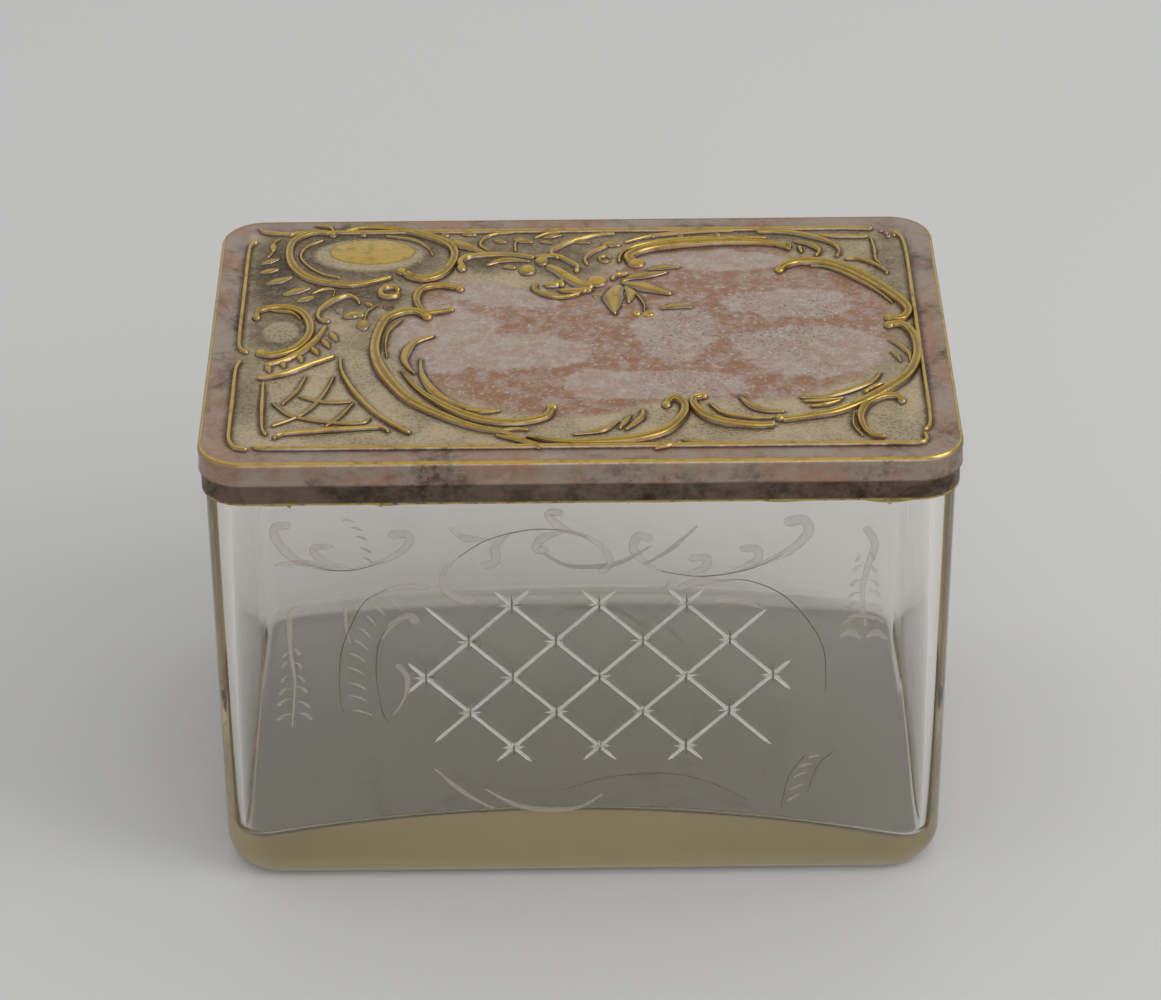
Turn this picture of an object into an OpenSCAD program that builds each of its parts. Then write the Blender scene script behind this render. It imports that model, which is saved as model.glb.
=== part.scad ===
// Glass casket: a thick moulded glass box with a metal collar cemented round its rim
// and an embossed metal lid, lined inside, that opens on a five-knuckle hinge at the back.
// Millimetres, +Z up, front towards -Y. The origin is the middle of the underside.

/* [Glass body] */
// Outer width of the glass at its rim
glass_w = 147.6; // [130:0.1:170]
// Outer depth of the glass at its rim
glass_d = 102.2; // [90:0.1:120]
// Height of the glass rim above the table
glass_h = 93; // [75:0.5:115]
// Thickness of the glass wall at the rim
wall = 4; // [3:0.1:6]
// Draft of the walls in degrees, drawing in towards the base
draft = 0.4; // [0.1:0.1:1]
// Radius of the upright corners at the rim
corner_r = 8; // [6.5:0.1:12]
// Radius of the rounded heel round the base
heel_r = 3; // [1.5:0.1:4.5]
// Thickness of the base at its two ends
floor_t = 6.5; // [4:0.1:9]
// Rise of the floor from its ends to its middle
floor_rise = 8; // [3:0.1:10]

/* [Collar] */
// Thickness of the collar's sheet
band_t = 0.5; // [0.4:0.05:0.8]
// Thickness of the cement between glass and collar
cement_t = 0.2; // [0.1:0.05:0.4]
// Height of the collar's outer band
band_h = 4.3; // [3.5:0.1:7]
// Height of the bezel that stands up inside the lid
bezel_h = 2.2; // [1.2:0.1:2.8]
// Clearance between the bezel and the lid's lining
bezel_gap = 0.35; // [0.3:0.05:0.6]

/* [Lid] */
// Height of the lid's skirt
lid_h = 5.2; // [4.8:0.1:8]
// Thickness of the lid's sheet
sheet_t = 0.6; // [0.4:0.05:0.8]
// Thickness of the lining inside the lid
liner_t = 0.5; // [0.4:0.05:0.7]
// How far the skirt stands out past the collar
skirt_over = 0.5; // [0.3:0.05:1.2]
// Radius of the lid's top edge
edge_r = 0.9; // [0.5:0.05:1.2]
// Play between the closed lid and the collar
seat_gap = 0.1; // [0.05:0.05:0.3]

/* [Relief] */
// Distance from the lid's edge to the middle of the frame roll
border = 6; // [4:0.1:9]
// Radius of the frame roll
frame_roll_r = 0.8; // [0.5:0.05:1.2]
// Radius of a full-width scroll roll
scroll_r = 1.5; // [1:0.05:2]
// Height of a roll as a share of its radius
roll_rise = 1; // [0.7:0.05:1.3]
// Crown of the smooth field inside the scrolls
field_crown = 1.2; // [0.6:0.05:2]
// Crown of the oval medallion
boss_crown = 1.1; // [0.5:0.05:2]

/* [Hinge] */
// Length of the whole barrel
hinge_w = 54; // [40:0.5:80]
// Outer radius of the knuckles
barrel_r = 1.5; // [1.3:0.05:2]
// Radius of the hinge pin
pin_r = 0.8; // [0.6:0.05:0.9]
// Radial clearance of the pin in its knuckles
pin_fit = 0.05; // [0.02:0.01:0.08]
// Gap between neighbouring knuckles
knuckle_gap = 0.2; // [0.15:0.05:0.4]
// Thickness of the hinge leaves
leaf_t = 0.6; // [0.5:0.05:0.9]
// Running gap between the barrel and the leaves
barrel_gap = 0.3; // [0.25:0.05:0.6]
// Gap from the seam to the edge of each leaf
leaf_gap = 0.35; // [0.3:0.05:0.6]
// Radius of the pin's heads
head_r = 1.15; // [1.05:0.05:1.25]
// Thickness of the pin's heads
head_t = 0.5; // [0.3:0.05:0.9]

/* [Hidden] */
$fn = 64;

// heights of the seam between collar and lid, of the closed lid's foot and of its top
seam_z = glass_h + cement_t + band_t;
lid_z = seam_z + seat_gap;
lid_top = seam_z + lid_h;

// plan sizes, each from the glass outwards, with corners that stay concentric
collar_out = cement_t + band_t;
lid_out = collar_out + skirt_over;
collar_w = glass_w + 2 * collar_out;
collar_d = glass_d + 2 * collar_out;
lid_w = glass_w + 2 * lid_out;
lid_d = glass_d + 2 * lid_out;
lid_r = corner_r + lid_out;
bezel_in = sheet_t + liner_t + bezel_gap;

// hinge line behind the lid, at the height of the seam
axis_y = lid_d / 2 + leaf_t + barrel_gap + barrel_r;
axis_z = seam_z;
knuckles = 5;
knuckle_w = (hinge_w - (knuckles - 1) * knuckle_gap) / knuckles;

// upright box with rounded corners, standing on z
module rounded_box(w, d, r, z, h) {
  translate([0, 0, z]) {
    translate([-w / 2 + r, -d / 2, 0]) cube([w - 2 * r, d, h]);
    translate([-w / 2, -d / 2 + r, 0]) cube([w, d - 2 * r, h]);
    for (x = [-1, 1], y = [-1, 1])
      translate([x * (w / 2 - r), y * (d / 2 - r), 0]) cylinder(r = r, h = h);
  }
}

// a rim profile carried round a rounded rectangle and filled in the middle;
// the profile starts at x = 0 on the axis of a corner and is h high
module profiled_block(w, d, r, z, h) {
  for (x = [-1, 1], y = [-1, 1])
    translate([x * (w / 2 - r), y * (d / 2 - r), z]) rotate_extrude() children();
  translate([0, 0, z]) {
    rotate([90, 0, 90]) linear_extrude(w - 2 * r, center = true)
      both_sides(d / 2 - r, h) children();
    rotate([90, 0, 0]) linear_extrude(d - 2 * r, center = true)
      both_sides(w / 2 - r, h) children();
  }
}

// the profile on both sides of a filled middle
module both_sides(c, h) {
  translate([-c, 0]) square([2 * c, h]);
  translate([c, 0]) children();
  mirror([1, 0]) translate([c, 0]) children();
}

// drafted side with a round heel: r across at the top, rh round the foot
module drafted_profile(r, h, rh) {
  foot = r - h * tan(draft);
  cx = foot + rh * tan(draft) - rh / cos(draft);
  translate([cx, rh]) intersection() {
    circle(r = rh);
    translate([0, -rh]) square([rh, 2 * rh]);
  }
  polygon([[0, 0], [cx, 0], [cx + rh * cos(draft), rh - rh * sin(draft)], [r, h], [0, h]]);
}

// drafted side down to a sharp foot
module tapered_profile(r, h) {
  polygon([[0, 0], [r - h * tan(draft), 0], [r, h], [0, h]]);
}

// straight side with a round top edge
module capped_profile(r, h, re) {
  translate([r - re, h - re]) circle(r = re, $fn = 24);
  square([r, h - re]);
  square([r - re, h]);
}

// the outside of the glass
module glass_form() {
  profiled_block(glass_w, glass_d, corner_r, 0, glass_h)
    drafted_profile(corner_r, glass_h, heel_r);
}

// mouth of the glass, level with the inner face of the wall
module mouth(z, h) {
  rounded_box(glass_w - 2 * wall, glass_d - 2 * wall, corner_r - wall, z, h);
}

module glass_body() color([0.80, 0.82, 0.76, 0.45]) {
  depth = glass_h - floor_t;
  half = glass_w / 2 - wall;
  // the floor swells upwards: a low vault across the width of the box
  vault_r = (half * half + floor_rise * floor_rise) / (2 * floor_rise);
  difference() {
    glass_form();
    difference() {
      profiled_block(glass_w - 2 * wall, glass_d - 2 * wall, corner_r - wall, floor_t, depth + 1)
        tapered_profile(corner_r - wall, depth + 1);
      translate([0, 0, floor_t + floor_rise - vault_r]) rotate([90, 0, 0])
        cylinder(r = vault_r, h = glass_d, center = true, $fn = 256);
    }
  }
}

module cement_bed() color([0.62, 0.55, 0.38]) {
  difference() {
    rounded_box(glass_w + 2 * cement_t, glass_d + 2 * cement_t, corner_r + cement_t,
                seam_z - band_h, glass_h + cement_t - seam_z + band_h);
    glass_form();
    mouth(glass_h - 1, cement_t + 2);
  }
}

module collar() color([0.36, 0.29, 0.18]) {
  bezel_w = lid_w - 2 * bezel_in;
  bezel_d = lid_d - 2 * bezel_in;
  difference() {
    rounded_box(collar_w, collar_d, corner_r + collar_out, seam_z - band_h, band_h);
    rounded_box(glass_w + 2 * cement_t, glass_d + 2 * cement_t, corner_r + cement_t,
                seam_z - band_h - 1, band_h + 1 - band_t);
    mouth(seam_z - band_t - 1, band_t + 2);
  }
  difference() {
    rounded_box(bezel_w, bezel_d, lid_r - bezel_in, seam_z - band_t / 2, bezel_h + band_t / 2);
    rounded_box(bezel_w - 2 * band_t, bezel_d - 2 * band_t, lid_r - bezel_in - band_t,
                seam_z - band_t, bezel_h + band_t + 1);
  }
}

module lid_liner() color([0.70, 0.60, 0.36]) {
  w = lid_w - 2 * sheet_t;
  d = lid_d - 2 * sheet_t;
  difference() {
    rounded_box(w, d, lid_r - sheet_t, lid_z, lid_top - sheet_t - lid_z);
    rounded_box(w - 2 * liner_t, d - 2 * liner_t, lid_r - sheet_t - liner_t,
                lid_z - 1, lid_top - sheet_t - liner_t - lid_z + 1);
  }
}

// Relief. A roll follows a smooth curve through a few points in the plan of the lid.

// point on the curve between points i and i + 1, with t from 0 to 1
function curve_at(p, i, t) = let (
    n = len(p) - 1,
    a = p[max(i - 1, 0)], b = p[i], c = p[min(i + 1, n)], d = p[min(i + 2, n)])
  0.5 * ((2 * b) + (c - a) * t + (2 * a - 5 * b + 4 * c - d) * t * t
         + (3 * b - a - 3 * c + d) * t * t * t);

// the whole curve, with a step of about s
function curve(p, s) = [
  for (i = [0 : len(p) - 2])
    let (m = max(1, round(norm(p[i + 1] - p[i]) / s)))
      for (k = [0 : m - 1]) curve_at(p, i, k / m),
  p[len(p) - 1]];

// unit direction of a path at its point i
function heading(q, i) = let (v = q[min(i + 1, len(q) - 1)] - q[max(i - 1, 0)]) v / norm(v);

// half round, one unit in radius, on an upright foot that goes below the ground
function half_round() = [[-1, -1], [-1, 0.15], [-0.62, 0.8], [0, 1], [0.62, 0.8], [1, 0.15], [1, -1]];

// how deep the feet of the relief go into the sheet
foot = sheet_t / 2;

// a roll along the path q whose radius runs from a through b to c; closed joins its ends
module roll_along(q, a, b, c, closed = false) {
  n = len(q);
  s = half_round();
  m = len(s);
  pts = [for (i = [0 : n - 1])
    let (u = closed ? (q[(i + 1) % n] - q[(i + n - 1) % n]) / norm(q[(i + 1) % n] - q[(i + n - 1) % n])
                    : heading(q, i),
         r = lookup(i / (n - 1), [[0, a], [0.45, b], [1, c]]))
      for (e = s) [q[i][0] - u[1] * e[0] * r, q[i][1] + u[0] * e[0] * r,
                   e[1] < 0 ? -foot : e[1] * r * roll_rise]];
  faces = concat(
    [for (i = [0 : closed ? n - 1 : n - 2], j = [0 : m - 1])
      let (k = (i + 1) % n, l = (j + 1) % m)
        each [[i * m + j, i * m + l, k * m + l], [i * m + j, k * m + l, k * m + j]]],
    closed ? [] : [[for (j = [m - 1 : -1 : 0]) j], [for (j = [0 : m - 1]) (n - 1) * m + j]]);
  polyhedron(points = pts, faces = faces, convexity = 6);
}

// a scroll through points drawn for a plain panel of 138 by 92.6
module scroll(p, a, b, c) {
  roll_along([for (e = curve(p, 4)) on_panel(e[0], e[1])],
             a * scroll_r, b * scroll_r, c * scroll_r);
}

// scale of the drawn scrolls to the panel inside the frame roll
panel_x = (lid_w - 2 * border) / 138;
panel_y = (lid_d - 2 * border) / 92.6;

// the drawing sits this much to the right and to the front of the middle of the panel
drawing_x = 2.5;
drawing_y = -1.3;

// place across the panel of a point of the drawing, which keeps its left and right ends where they are
function across(x) = (x + drawing_x * (1 - pow(x / 77, 2))) * panel_x;

// a point of the drawing on the panel
function on_panel(x, y) = [across(x), (y + drawing_y) * panel_y];

// a bud or leaf: round at a, r across, and tapering to b
module bud(a, b, r, tip) {
  hull()
    for (e = [[a, r], [b, tip]])
      translate(on_panel(e[0][0], e[0][1])) {
        translate([0, 0, -foot / 2]) cylinder(r = e[1] * scroll_r / 1.5, h = foot / 2 + 0.17, $fn = 12);
        cylinder(r = 0.6 * e[1] * scroll_r / 1.5, h = 0.85 * e[1] * roll_rise, $fn = 12);
      }
}

// closed smooth outline through points, and the ring it becomes nearer its middle
function loop(p, m) = let (n = len(p))
  [for (i = [0 : n - 1], k = [0 : m - 1])
    let (w = [p[(i + n - 1) % n], p[i], p[(i + 1) % n], p[(i + 2) % n]]) curve_at(w, 1, k / m)];

// a pillow: rings that rise and close in from an outline to the middle
module pillow(q, mid, crown) {
  n = len(q);
  rings = 4;
  pts = [for (j = [0 : rings], e = q)
      let (t = j / (rings + 1), p = mid + (e - mid) * cos(90 * t))
        [p[0], p[1], j == 0 ? -0.8 * foot : crown * sin(90 * t)],
    [mid[0], mid[1], crown]];
  faces = concat([[for (i = [0 : n - 1]) i]],
    [for (j = [0 : rings - 1], i = [0 : n - 1]) let (k = (i + 1) % n)
      each [[j * n + i, (j + 1) * n + k, j * n + k], [j * n + i, (j + 1) * n + i, (j + 1) * n + k]]],
    [for (i = [0 : n - 1]) [rings * n + i, len(pts) - 1, rings * n + (i + 1) % n]]);
  polyhedron(points = pts, faces = faces, convexity = 4);
}

function oval(x, y, a, b, n) =
  [for (i = [0 : n - 1]) on_panel(x + a * cos(360 * i / n), y + b * sin(360 * i / n))];

module frame_roll() {
  x = lid_w / 2 - border;
  y = lid_d / 2 - border;
  r = lid_r / 2;
  run = 12;
  side = function (ax, ay, bx, by) [for (k = [1 : run - 1]) [ax + (bx - ax) * k / run, ay + (by - ay) * k / run]];
  arc = function (cx, cy, s) [for (k = [0 : 4]) [cx + r * cos(s + 22.5 * k), cy + r * sin(s + 22.5 * k)]];
  roll_along(concat(
      arc(x - r, y - r, 0), side(x - r, y, r - x, y),
      arc(r - x, y - r, 90), side(-x, y - r, -x, r - y),
      arc(r - x, r - y, 180), side(r - x, -y, x - r, -y),
      arc(x - r, r - y, 270), side(x, r - y, x, y - r)),
    frame_roll_r, frame_roll_r, frame_roll_r, closed = true);
}

// the great cartouche: scrolls that close round the smooth field
module cartouche() {
  // left side
  scroll([[-33, 8.5], [-36, 11.5], [-41, 8], [-43, -2], [-42, -11], [-37, -23], [-28, -33], [-18, -38.5], [-10.5, -43.5]],
         0.6, 1, 0.4);
  scroll([[-39.6, 3.5], [-40, -6], [-35, -19.3], [-26.8, -29.2], [-17, -34.6], [-9.8, -33.5], [-8, -29.5]], 0.25, 0.6, 0.65);
  scroll([[-31.5, 0], [-35.5, -2.5], [-36.8, -9], [-34.8, -14.5]], 0.3, 0.7, 0.3);
  scroll([[-33, -8.5], [-32.5, -16], [-29.4, -23.4], [-23.6, -28.7], [-18, -30.2]], 0.3, 0.75, 0.3);
  // the pair at the front
  scroll([[14.5, -28.5], [16, -25.5], [18, -27.5], [18, -32], [15, -38], [9, -41.6], [0, -42.9], [-8.5, -42.3]],
         0.6, 1, 0.45);
  scroll([[10.3, -30.5], [9.6, -34.5], [6.8, -38.6]], 0.3, 0.55, 0.35);
  scroll([[7.2, -32], [5.6, -35.7], [2.2, -39]], 0.3, 0.55, 0.35);
  scroll([[4.2, -33.5], [1.6, -36.8], [-3.5, -39.3]], 0.3, 0.55, 0.35);
  scroll([[22, -25], [20.7, -27.5], [22, -32], [26.5, -36], [31.5, -37.4], [36, -37.2]], 0.55, 1, 0.55);
  // right side
  scroll([[39, -35], [45, -33.6], [51.5, -30.3], [58.5, -24.5], [63.5, -17.5], [66, -9], [66.2, -2], [64.5, 3.4], [61.5, 3.8]],
         0.5, 1, 0.6);
  scroll([[29.5, -26], [31.2, -29.6], [34.5, -32.2], [39, -32.3]], 0.35, 0.7, 0.35);
  scroll([[42.5, -27.3], [47.5, -27.7], [52.8, -24.6], [57, -20.5], [59.3, -16.5]], 0.35, 0.55, 0.3);
  scroll([[61, -14], [62.6, -8.5], [62.4, -3], [60.5, 0.5]], 0.3, 0.5, 0.3);
  scroll([[40.5, 28.5], [42, 31.5], [46.5, 33.5], [53, 31.5], [59.5, 24], [64, 16], [65.6, 11], [64.8, 8.2], [61.5, 7.8]],
         0.6, 1, 0.6);
  // top
  scroll([[7, 31], [6.6, 34.5], [9.5, 38.5], [15, 40.7], [24, 41.9], [33, 41.9], [40.5, 40.8], [43.3, 37.5]], 0.7, 0.95, 0.5);
}

// oval medallion at the back left with its scrolled frame, and the ring below it
module medallion() {
  scroll([[-53.5, 42.2], [-57, 43.2], [-60.6, 40], [-61.5, 34], [-58.3, 26.8], [-52.3, 23.3], [-45.3, 23], [-40.5, 25.8]],
         0.55, 0.75, 0.4);
  scroll([[-50.5, 44.2], [-45.5, 44.3], [-39, 43.6], [-33, 41.5], [-28.8, 37.3], [-27.8, 32]], 0.35, 0.65, 0.45);
  scroll([[-38.3, 29.5], [-37, 26.3], [-33.8, 24.8], [-30.3, 26.3], [-28.8, 29.6]], 0.7, 0.8, 0.4);
  pillow(oval(-45.5, 34.4, 11.5, 7, 20), on_panel(-45.5, 34.4), boss_crown);
  roll_along(oval(-40.6, 18.3, 2.9, 3.6, 12), 0.5 * scroll_r, 0.5 * scroll_r, 0.5 * scroll_r, closed = true);
  scroll([[-26.5, 20.3], [-30.5, 22], [-34.2, 20], [-35, 16.5], [-33.2, 13.8], [-29.5, 13.2]], 0.55, 0.6, 0.35);
  scroll([[-46, 14.5], [-49, 17.6], [-52.3, 15.3], [-53.9, 11], [-52.4, 7]], 0.4, 0.55, 0.5);
}

// round scroll and fan panel on the left
module left_panels() {
  scroll([[-66, 8.5], [-65.6, 11.8], [-62, 13.2], [-58, 11.3], [-56.2, 5], [-57.2, -2.5], [-61, -6.8], [-64.8, -6.3]], 0.5, 0.7, 0.6);
  pillow(oval(-61.6, 2.8, 3.8, 5.6, 14), on_panel(-61.6, 2.8), boss_crown * 0.7);
  scroll([[-65, -16.3], [-60, -14.4], [-55.3, -10.9], [-52, -8.2]], 0.45, 0.45, 0.35);
  scroll([[-64, -18.5], [-63.4, -28], [-63.2, -34], [-62.5, -37]], 0.4, 0.5, 0.35);
  scroll([[-61.2, -40.4], [-59, -38.4], [-51.6, -37.4], [-43, -36.6], [-40, -38]], 0.35, 0.5, 0.35);
  scroll([[-49.5, -8], [-49.3, -14], [-46.3, -22.8], [-41.7, -31.2], [-36.5, -37]], 0.35, 0.5, 0.45);
  // scalloped ribs of the fan
  for (k = [0 : 3])
    scroll([[-62, -18 - 4.6 * k], [-58.5 + 0.6 * k, -20.4 - 4.2 * k], [-54.8 + 1.2 * k, -18.8 - 4 * k], [-51.8 + 1.6 * k, -14.5 - 4 * k]],
           0.25, 0.35, 0.25);
}

// scrolls in the corners on the right, and the branch of leaves at the top
module sprays() {
  scroll([[63, -29], [60.8, -26.4], [57.4, -28.4], [54.8, -33], [55.2, -38.5], [59, -42]], 0.5, 0.6, 0.35);
  scroll([[51, 42.6], [60, 42], [61.5, 36], [62.3, 31]], 0.3, 0.4, 0.3);
  scroll([[-25.8, 30.5], [-25, 34], [-20, 35.6], [-12.5, 34], [-7, 28.5], [-3, 23.5]], 0.55, 0.7, 0.5);
  for (p = [[5, 22.6, 15.5, 27], [6.5, 20.5, 16, 18], [3.6, 17.4, 4.6, 9.5], [6.8, 17.4, 13, 11], [2.6, 24, 6.4, 29.5],
            [-6.8, 21.5, -2, 18.5], [-9.4, 37.2, -6, 37.8], [-14.5, 30.6, -12.3, 30], [-47.4, 9.2, -48.4, 11.6], [-45.2, 4.8, -45, 8]])
    bud([p[0], p[1]], [p[2], p[3]], 1.3, 0.5);
}

// smooth field that swells between the scrolls
module field() {
  q = [for (e = loop([[-36, 8], [-38, -2], [-34, -14], [-25, -25], [-13, -31.5], [0, -33], [10, -29], [19, -26],
                      [29, -27.5], [42, -26], [55, -16], [60.5, -6], [61.5, 8], [56, 23], [44, 29.5], [34, 39], [18, 38],
                      [6, 29], [-6, 16], [-20, 22], [-30, 18]], 2))
         [across(e[0]), e[1] * panel_y]];
  pillow(q, [across(14), -2 * panel_y], field_crown);
}

// plain lid with a round top edge, open underneath
module lid_blank() {
  difference() {
    hull() {
      for (x = [-1, 1], y = [-1, 1])
        translate([x * (lid_w / 2 - lid_r), y * (lid_d / 2 - lid_r), lid_z])
          rotate_extrude($fn = 32) capped_profile(lid_r, lid_top - lid_z, edge_r);
    }
    hull() {
      for (x = [-1, 1], y = [-1, 1])
        translate([x * (lid_w / 2 - lid_r), y * (lid_d / 2 - lid_r), lid_z - 1])
          cylinder(r = lid_r - sheet_t, h = lid_top - sheet_t - lid_z + 1, $fn = 32);
    }
  }
}

module lid_shell() color([0.60, 0.52, 0.38]) {
  lid_blank();
  translate([0, 0, lid_top]) {
    frame_roll();
    cartouche();
    medallion();
    left_panels();
    sprays();
    field();
  }
}

// knuckles first to last by twos, with a strap back to the leaf; up is 1 for the lid, -1 for the collar
module barrel(first, up) {
  for (k = [first : 2 : knuckles - 1])
    translate([-hinge_w / 2 + k * (knuckle_w + knuckle_gap), axis_y, axis_z])
      difference() {
        union() {
          rotate([0, 90, 0]) cylinder(r = barrel_r, h = knuckle_w);
          translate([0, -barrel_r - barrel_gap - leaf_t / 2, up > 0 ? leaf_gap : -barrel_r])
            cube([knuckle_w, barrel_r + barrel_gap + leaf_t / 2, barrel_r - leaf_gap]);
        }
        translate([-1, 0, 0]) rotate([0, 90, 0]) cylinder(r = pin_r + pin_fit, h = knuckle_w + 2);
      }
}

module collar_leaf() color([0.48, 0.38, 0.20]) {
  translate([-hinge_w / 2, collar_d / 2, seam_z - band_h + leaf_gap])
    cube([hinge_w, skirt_over + leaf_t, band_h - 2 * leaf_gap]);
  barrel(0, -1);
}

module lid_leaf() color([0.66, 0.54, 0.28]) {
  translate([-hinge_w / 2, lid_d / 2, seam_z + leaf_gap])
    cube([hinge_w, leaf_t, lid_h - edge_r - 2 * leaf_gap]);
  barrel(1, 1);
}

module hinge_pin() color([0.72, 0.62, 0.36]) {
  translate([-hinge_w / 2 - head_t, axis_y, axis_z]) rotate([0, 90, 0]) {
    cylinder(r = pin_r, h = hinge_w + 2 * head_t);
    cylinder(r = head_r, h = head_t);
    translate([0, 0, hinge_w + head_t]) cylinder(r = head_r, h = head_t);
  }
}

glass_body();
cement_bed();
collar();
collar_leaf();
hinge_pin();
lid_shell();
lid_liner();
lid_leaf();
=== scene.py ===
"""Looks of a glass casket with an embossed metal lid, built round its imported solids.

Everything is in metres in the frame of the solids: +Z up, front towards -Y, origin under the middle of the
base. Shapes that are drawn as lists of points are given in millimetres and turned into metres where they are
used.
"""

import logging
import math
from dataclasses import dataclass, field, replace
from enum import Enum
from typing import Any, Callable, Sequence

import bmesh
import bpy
import numpy as np
from mathutils import Matrix, Vector
from mathutils.kdtree import KDTree


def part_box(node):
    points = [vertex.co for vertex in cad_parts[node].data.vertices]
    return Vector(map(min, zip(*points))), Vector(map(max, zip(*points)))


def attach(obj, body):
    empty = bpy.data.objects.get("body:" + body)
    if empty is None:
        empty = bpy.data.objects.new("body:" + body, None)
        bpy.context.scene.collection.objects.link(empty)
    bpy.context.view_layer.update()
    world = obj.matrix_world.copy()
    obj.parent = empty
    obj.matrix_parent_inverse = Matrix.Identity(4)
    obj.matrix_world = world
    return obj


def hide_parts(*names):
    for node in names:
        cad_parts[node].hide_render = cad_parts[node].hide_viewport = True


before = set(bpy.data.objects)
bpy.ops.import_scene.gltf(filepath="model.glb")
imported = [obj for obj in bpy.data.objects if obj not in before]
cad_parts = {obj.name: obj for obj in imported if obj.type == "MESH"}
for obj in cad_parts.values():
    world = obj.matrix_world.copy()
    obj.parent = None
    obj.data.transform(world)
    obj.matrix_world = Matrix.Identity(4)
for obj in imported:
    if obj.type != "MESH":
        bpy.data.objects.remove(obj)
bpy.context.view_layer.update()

MM = 0.001
Point = tuple[float, float]
Colour = tuple[float, float, float]
Blob = tuple[float, ...]
Place = tuple[float, float, float]
Socket = bpy.types.NodeSocket
Material = bpy.types.Material
Object = bpy.types.Object
log = logging.getLogger("casket")


class Body(Enum):
    """The two bodies that the pieces ride on."""

    BASE = "base"
    LID = "lid"


class Profile(Enum):
    """Cross section of a roll of the relief, as points (across, up) on a unit half width and a unit rise."""

    ROUND = ((-1.25, -0.12), (-1.0, 0.1), (-0.86, 0.42), (-0.6, 0.76), (-0.3, 0.95), (0.0, 1.0),
             (0.3, 0.95), (0.6, 0.76), (0.86, 0.42), (1.0, 0.1), (1.25, -0.12))
    LIPPED = ((-1.2, -0.12), (-1.0, 0.15), (-0.88, 0.7), (-0.68, 0.98), (-0.48, 0.86), (-0.2, 0.6),
              (0.1, 0.62), (0.38, 0.84), (0.58, 0.98), (0.8, 0.82), (0.96, 0.4), (1.05, 0.1), (1.25, -0.12))
    LEAF = ((-1.15, -0.12), (-0.95, 0.3), (-0.7, 0.62), (-0.35, 0.86), (-0.1, 0.9), (0.0, 0.74),
            (0.1, 0.9), (0.35, 0.86), (0.7, 0.62), (0.95, 0.3), (1.15, -0.12))
    CUT = ((-1.0, 0.1), (-0.6, 0.8), (0.0, 1.0), (0.6, 0.8), (1.0, 0.1))


class NodeGraph:
    """Short calls for building a shader or geometry tree."""

    def __init__(self, tree: bpy.types.NodeTree) -> None:
        """Args: tree: the node tree that is built."""
        self.tree = tree

    def add(self, kind: str, inputs: dict[Any, Any] | None = None, **settings: Any) -> bpy.types.Node:
        """Adds a node.

        Args:
            kind: the node's type name.
            inputs: values or output sockets by input name or index.
            settings: the node's own properties.

        Returns:
            The new node.
        """
        node = self.tree.nodes.new(kind)
        for name, value in settings.items():
            setattr(node, name, value)
        for name, value in (inputs or {}).items():
            self.put(node.inputs[name], value)
        return node

    def put(self, socket: Socket, value: Any) -> None:
        """Links an output socket to a socket, or sets a plain value on it.

        Args:
            socket: the input socket.
            value: an output socket, a plain value, or None for the socket's own value.
        """
        if isinstance(value, Socket):
            self.tree.links.new(value, socket)
        elif value is not None:
            socket.default_value = value


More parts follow.
